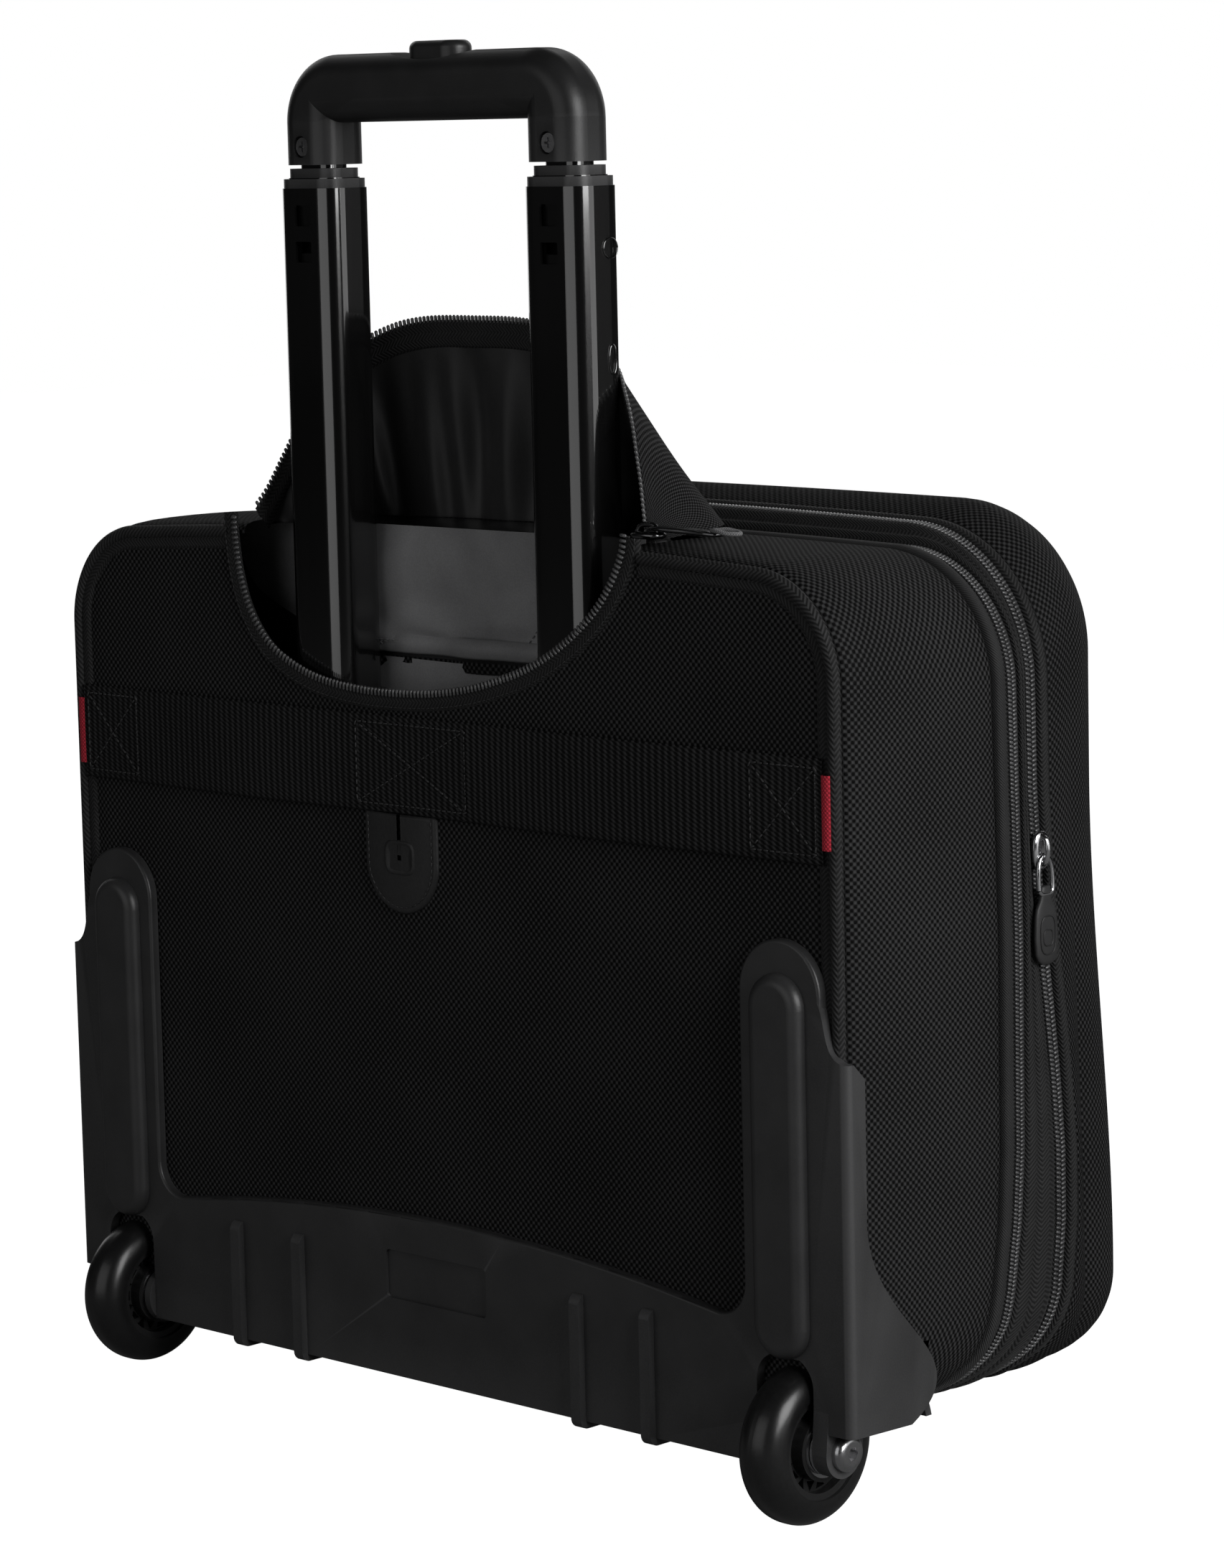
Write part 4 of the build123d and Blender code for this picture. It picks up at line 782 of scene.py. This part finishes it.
low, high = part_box("leather_tab")
tab_x, tab_r = (low.x + high.x) / 2 / MM, (high.x - low.x) / 2 / MM
tab_low, tab_top = low.z / MM, high.z / MM
rows = []
for inset, lift in ((0.0, 0.6), (0.0, -1.6), (0.5, -2.3), (1.6, -2.6), (2.4, -2.45), (3.4, -2.6), (9.0, -3.0),
                    (19.0, -3.2)):
    r = tab_r - inset
    a = np.linspace(math.pi, 2 * math.pi, 40)
    arc = np.stack([tab_x + r * np.cos(a), tab_low + tab_r + r * np.sin(a)], -1)
    top = np.stack([np.linspace(tab_x + r, tab_x - r, 24), np.full(24, tab_top)], -1)
    left_up = np.stack([np.full(14, tab_x + r), np.linspace(tab_low + tab_r, tab_top, 14)], -1)
    left_dn = np.stack([np.full(14, tab_x - r), np.linspace(tab_top, tab_low + tab_r, 14)], -1)
    loop = np.vstack([arc, left_up[1:], top[1:], left_dn[1:]])
    rows.append(np.stack([loop[:, 0], np.full(len(loop), -0.6 + lift), loop[:, 1]], -1))
rows = np.stack(rows)
tab = grid("leather_patch", rows, leather_skin, uv=rows[..., [0, 2]])
part(tab, "case", "leather_tab", slot="leather")
a = np.linspace(math.pi, 2 * math.pi, 50)
r = tab_r - 2.4
seam = np.vstack([[(tab_x - r, -3.25, z) for z in np.linspace(tab_top - 1, tab_low + tab_r, 12)],
                  np.stack([tab_x + r * np.cos(a), np.full(50, -3.25), tab_low + tab_r + r * np.sin(a)], -1),
                  [(tab_x + r, -3.25, z) for z in np.linspace(tab_low + tab_r, tab_top - 1, 12)]])
part(stitches("leather_stitch", seam, np.tile((0.0, -1.0, 0.0), (len(seam), 1)), 2.6, 0.85, 0.28), "case")
badge = []
for inset, lift in ((0.0, -3.3), (0.3, -3.9), (1.3, -4.1), (2.0, -3.7), (6.0, -3.75)):
    a = np.linspace(0, 2 * math.pi, 48)
    sx = np.sign(np.cos(a)) * np.abs(np.cos(a)) ** 0.5
    sz = np.sign(np.sin(a)) * np.abs(np.sin(a)) ** 0.5
    badge.append(np.stack([tab_x + (8.5 - inset) * sx, np.full(48, lift),
                           tab_low + tab_r + 2 + (7.0 - inset) * sz], -1))
badge = np.stack(badge)
part(grid("leather_badge", badge, leather_skin, uv=badge[..., [0, 2]], flip=True), "case")

# ---------------------------------------------------------------- sliders and pulls


def loft(name, sections, material, flip=False):
    """Closed form through rings of equal count, capped at both ends."""
    rings = np.stack(sections)
    rows, cols = rings.shape[:2]
    faces = quads(rows, cols, flip, wrap=True)
    first, last = tuple(range(cols)), tuple(range((rows - 1) * cols, rows * cols))
    faces += [first if flip else first[::-1], last[::-1] if flip else last]
    points = rings.reshape(-1, 3)
    return build(name, points, faces, points[:, [0, 2]] + points[:, [1, 1]] * 0.3, material)


def oval(centre, u, v, a, b, power=2.6, count=28):
    """Rounded rectangle ring: centre + a*u + b*v."""
    t = np.linspace(0, 2 * math.pi, count, endpoint=False)
    c = np.sign(np.cos(t)) * np.abs(np.cos(t)) ** (2 / power)
    s = np.sign(np.sin(t)) * np.abs(np.sin(t)) ** (2 / power)
    across, along = np.asarray(u, float), np.asarray(v, float)
    return np.asarray(centre, float) + a * c[:, None] * across + b * s[:, None] * along


def wire(name, knots, radius, material, count=60):
    """Round wire or cord on a smooth curve through the knots."""
    path = curve_through(knots, count)
    along = tangents(path)
    helper = unit(np.cross(along, np.tile((0.3, 0.5, 0.81), (count, 1))))
    other = np.cross(along, helper)
    return sweep(name, path, helper, other, circle(radius, 10), material, closed=True)


X, Y, Z = (1, 0, 0), (0, 1, 0), (0, 0, 1)
low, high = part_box("side_slider")
slide_z = (low.z + high.z) / 2 / MM
slide_y = float(chain_b(slide_z))
face_x = 211.6
body_rings = [oval((face_x + dx, slide_y, slide_z + dz), Y, Z, a, b) for dx, dz, a, b in
              ((0.0, 0, 3.4, 6.2), (0.4, 0, 4.3, 7.2), (1.6, 0, 4.5, 7.4), (2.3, 0, 4.0, 6.8),
               (2.6, 0, 2.6, 5.4))]
part(loft("side_slider_body", body_rings, nickel), "side_slider", "side_slider", slot="nickel")
bridge_knots = [(face_x + 2.0, slide_y - 0.5, slide_z + 5.6), (face_x + 4.2, slide_y, slide_z + 4.0),
                (face_x + 4.8, slide_y, slide_z), (face_x + 4.0, slide_y, slide_z - 3.6),
                (face_x + 2.0, slide_y, slide_z - 5.2)]
bridge = wire("side_slider_bridge", bridge_knots, 1.1, nickel)
part(bridge, "side_slider", slot="nickel")
ring_top = slide_z - 3.5
ring = [(face_x + 3.6, slide_y - 3.9, ring_top - 11), (face_x + 3.4, slide_y - 3.9, ring_top - 4),
        (face_x + 3.2, slide_y - 2.6, ring_top + 0.4), (face_x + 3.1, slide_y, ring_top + 1.6),
        (face_x + 3.2, slide_y + 2.6, ring_top + 0.4), (face_x + 3.4, slide_y + 3.9, ring_top - 4),
        (face_x + 3.6, slide_y + 3.9, ring_top - 11), (face_x + 3.6, slide_y + 2.2, ring_top - 12.4),
        (face_x + 3.6, slide_y - 2.2, ring_top - 12.4), (face_x + 3.6, slide_y - 3.9, ring_top - 11)]
part(wire("side_pull_ring", ring, 0.95, nickel, count=90), "side_pull", "side_pull", slot="nickel")
tip = ring_top - 12
tongue = []
for z, w, t in ((tip + 2.4, 2.2, 0.9), (tip + 2.0, 2.6, 1.3), (tip - 0.6, 2.7, 1.3), (tip - 3.2, 3.4, 1.2),
                (tip - 6.0, 5.2, 1.2), (tip - 9, 5.9, 1.25), (tip - 17, 6.5, 1.3), (tip - 23, 6.2, 1.25),
                (tip - 25.5, 5.0, 1.15), (tip - 26.8, 3.2, 0.9), (tip - 27.2, 1.4, 0.4)):
    tongue.append(oval((face_x + 3.2, slide_y + 0.02 * (tip - z), z), Y, X, w, t, 3.2))
part(loft("side_pull_tongue", tongue, pull_rubber, flip=True), "side_pull", slot="pull_rubber")
for tag, w, hgt, cz in (("rim", 4.2, 7.2, tip - 16), ("mark", 2.6, 3.0, tip - 17)):
    loop = oval((face_x + 4.45, slide_y + 0.02 * (tip - cz), cz), Y, Z, w, hgt, 3.0, 40)
    loop = np.vstack([loop, loop[:1]])
    out = np.tile((1.0, 0.0, 0.0), (41, 1))
    side = unit(np.cross(tangents(loop), out))
    part(sweep(f"side_pull_{tag}", loop, out, side, circle(0.32, 6), pull_rubber, closed=True), "side_pull")

low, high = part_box("top_slider")
sx, sy, sz = (low.x + high.x) / 2 / MM - 2, 8.0, 356.6
rings = [oval((sx, sy, sz + dz), X, Y, a, b) for dz, a, b in
         ((0.0, 6.4, 3.8), (0.5, 7.2, 4.6), (1.8, 7.3, 4.7), (2.4, 6.6, 4.0), (2.7, 5.0, 2.6))]
part(loft("top_slider_body", rings, gun_metal), "case", "top_slider", slot="black_metal")
part(wire("top_slider_bridge", [(sx - 5.4, sy, sz + 2.2), (sx - 3.5, sy, sz + 4.6), (sx, sy, sz + 5.2),
                                (sx + 3.6, sy, sz + 4.4), (sx + 5.2, sy, sz + 2.2)], 1.1, gun_metal), "case",
     slot="black_metal")
low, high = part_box("top_pull")
px0, px1 = low.x / MM, high.x / MM
pull = []
for s, w, t in ((0.0, 1.8, 0.7), (0.02, 2.6, 0.9), (0.2, 3.4, 1.0), (0.45, 2.6, 1.0), (0.8, 3.6, 1.0),
                (0.96, 3.9, 0.95), (1.0, 3.0, 0.6)):
    pull.append(oval((px0 - 3 + (px1 - px0 - 1) * s, sy + 2.0 * s, sz + 4.0 - 1.2 * s), Y, Z, w, t, 3.4))
part(loft("top_pull_tongue", pull, gun_metal), "top_pull", "top_pull", slot="black_metal")
end = np.array([px1 - 5, sy + 2.0, sz + 3.2])
part(wire("top_pull_cord", [end + (-3, -1, 0.9), end + (1, -3.4, 1.2), end + (6, -3.2, 0.4), end + (9.5, 0, 0.2),
                            end + (6, 3.4, 0.4), end + (1, 2.8, 1.2), end + (-3, 0.6, 0.9)], 0.85, cord_cloth,
          count=70), "top_pull", slot="webbing")

# ---------------------------------------------------------------- small fittings on the handle tubes
low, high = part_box("stage_1_tubes")
tube_face = high.x / MM
for tag, z, a, b in (("ring", 462, 3.6, 3.6), ("mark", 421, 1.8, 5.4)):
    cy = (low.y + high.y) / 2 / MM - back + 4.0
    loop = oval((tube_face + 0.1, cy, z), Y, Z, a, b, 2.2, 40)
    loop = np.vstack([loop, loop[:1]])
    out = np.tile((1.0, 0.0, 0.0), (41, 1))
    side = unit(np.cross(tangents(loop), out))
    part(sweep(f"tube_{tag}", loop, out, side, circle(0.4, 8), black_tube, closed=True), "stage_1")

# padded divider
low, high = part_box("laptop_divider")
dx, dz0, dz1 = high.x / MM - 1, low.z / MM + 1, high.z / MM - 1
dy0, dy1 = low.y / MM - back, high.y / MM - back
mid_y, mid_z = (dy0 + dy1) / 2, (dz0 + dz1) / 2
rings = []
for s in np.linspace(0, math.pi, 15):
    y = mid_y - (dy1 - dy0) / 2 * 0.98 * math.cos(s)
    f = 0.90 + 0.1 * math.sin(s) ** 0.5
    rings.append(oval((0, y, mid_z), X, Z, dx * f, (dz1 - dz0) / 2 * f, 9.0, 80))
for f in (0.55, 0.2):
    y = mid_y + (dy1 - dy0) / 2 * 0.98 + 0.5
    rings.append(oval((0, y, mid_z), X, Z, dx * f, (dz1 - dz0) / 2 * f, 9.0, 80))
divider = part(loft("divider_pad", rings, pad_cloth, flip=True), "case", "laptop_divider", slot="pad")

# ---------------------------------------------------------------- bodies
for piece, body in pieces.values():
    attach(piece, body)


# ---------------------------------------------------------------- floor, light and camera
floor_mesh = bpy.data.meshes.new("floor")
floor_corners = [(-6, -6, -0.0005), (6, -6, -0.0005), (6, 6, -0.0005), (-6, 6, -0.0005)]
floor_mesh.from_pydata(floor_corners, [], [(0, 1, 2, 3)])
floor = bpy.data.objects.new("floor", floor_mesh)
bpy.context.scene.collection.objects.link(floor)
floor_paint = Nodes("floor_paint")
floor_paint.shader.inputs["Base Color"].default_value = (0.25, 0.25, 0.25, 1)
floor_paint.finish(0.9, specular=0.0)
glow = floor_paint.add("ShaderNodeEmission")
both, kind = floor_paint.add("ShaderNodeMixShader"), floor_paint.add("ShaderNodeLightPath")
seen_glow = floor_paint.add("ShaderNodeAddShader")
floor_paint.tree.links.new(floor_paint.shader.outputs[0], seen_glow.inputs[0])
floor_paint.tree.links.new(glow.outputs[0], seen_glow.inputs[1])
floor_paint.tree.links.new(kind.outputs["Is Camera Ray"], both.inputs[0])
floor_paint.tree.links.new(floor_paint.shader.outputs[0], both.inputs[1])
floor_paint.tree.links.new(seen_glow.outputs[0], both.inputs[2])
surface = next(n for n in floor_paint.tree.nodes if n.type == "OUTPUT_MATERIAL")
floor_paint.tree.links.new(both.outputs[0], surface.inputs["Surface"])
floor_mesh.materials.append(floor_paint.material)

world = bpy.data.worlds.new("studio")
world.use_nodes = True
tree = world.node_tree
tree.nodes.clear()
ambient, seen = tree.nodes.new("ShaderNodeBackground"), tree.nodes.new("ShaderNodeBackground")
ambient.inputs[0].default_value, ambient.inputs[1].default_value = (1, 1, 1, 1), 0.012
seen.inputs[0].default_value, seen.inputs[1].default_value = (1, 1, 1, 1), 1.0
mix, path_kind = tree.nodes.new("ShaderNodeMixShader"), tree.nodes.new("ShaderNodeLightPath")
tree.links.new(path_kind.outputs["Is Camera Ray"], mix.inputs[0])
tree.links.new(ambient.outputs[0], mix.inputs[1])
tree.links.new(seen.outputs[0], mix.inputs[2])
tree.links.new(mix.outputs[0], tree.nodes.new("ShaderNodeOutputWorld").inputs[0])
bpy.context.scene.world = world


def softbox(name, azimuth, elevation, distance, width, height, power, target=(0, 0, 0.25)):
    """Area light at an azimuth round the case, aimed at it."""
    light = bpy.data.lights.new(name, "AREA")
    light.shape = "RECTANGLE"
    light.size, light.size_y, light.energy = width, height, power
    lamp = bpy.data.objects.new(name, light)
    a, e = math.radians(azimuth), math.radians(elevation)
    direction = Vector((math.sin(a) * math.cos(e), -math.cos(a) * math.cos(e), math.sin(e)))
    spot = Vector(target) + distance * direction
    lamp.location = spot
    lamp.rotation_euler = (spot - Vector(target)).to_track_quat("Z", "Y").to_euler()
    bpy.context.scene.collection.objects.link(lamp)


softbox("back_box", -6, 8, 2.2, 2.2, 2.0, 9)
softbox("side_box", 114, 8, 2.2, 1.25, 1.8, 7)
softbox("key_box", 84, 20, 2.2, 1.2, 1.2, 30)
softbox("front_box", 200, 24, 2.4, 1.6, 1.6, 7)
softbox("left_box", -110, 20, 2.4, 1.2, 1.8, 6)

camera = bpy.data.objects.new("camera", bpy.data.cameras.new("camera"))
bpy.context.scene.collection.objects.link(camera)
camera.data.sensor_fit = "HORIZONTAL"
camera.data.sensor_width = 36.0
camera.data.lens = 141.12
camera.location = (1.32568, -1.33402, 0.51109)
azimuth, elevation, roll = math.radians(44.3803), math.radians(7.9522), math.radians(-1.3132)
toward = Vector((math.sin(azimuth) * math.cos(elevation), -math.cos(azimuth) * math.cos(elevation),
                 math.sin(elevation)))
right = Vector((math.cos(azimuth), math.sin(azimuth), 0))
up = toward.cross(right)
cam_x = math.cos(roll) * right + math.sin(roll) * up
cam_y = -math.sin(roll) * right + math.cos(roll) * up
rotation = [[cam_x[i], cam_y[i], toward[i]] for i in range(3)]
camera.rotation_euler = Matrix(rotation).to_euler()
camera.data.clip_start, camera.data.clip_end = 0.05, 30
bpy.context.scene.camera = camera
bpy.context.scene.view_settings.view_transform = "Standard"
bpy.context.scene.view_settings.look = "None"

bpy.context.view_layer.update()
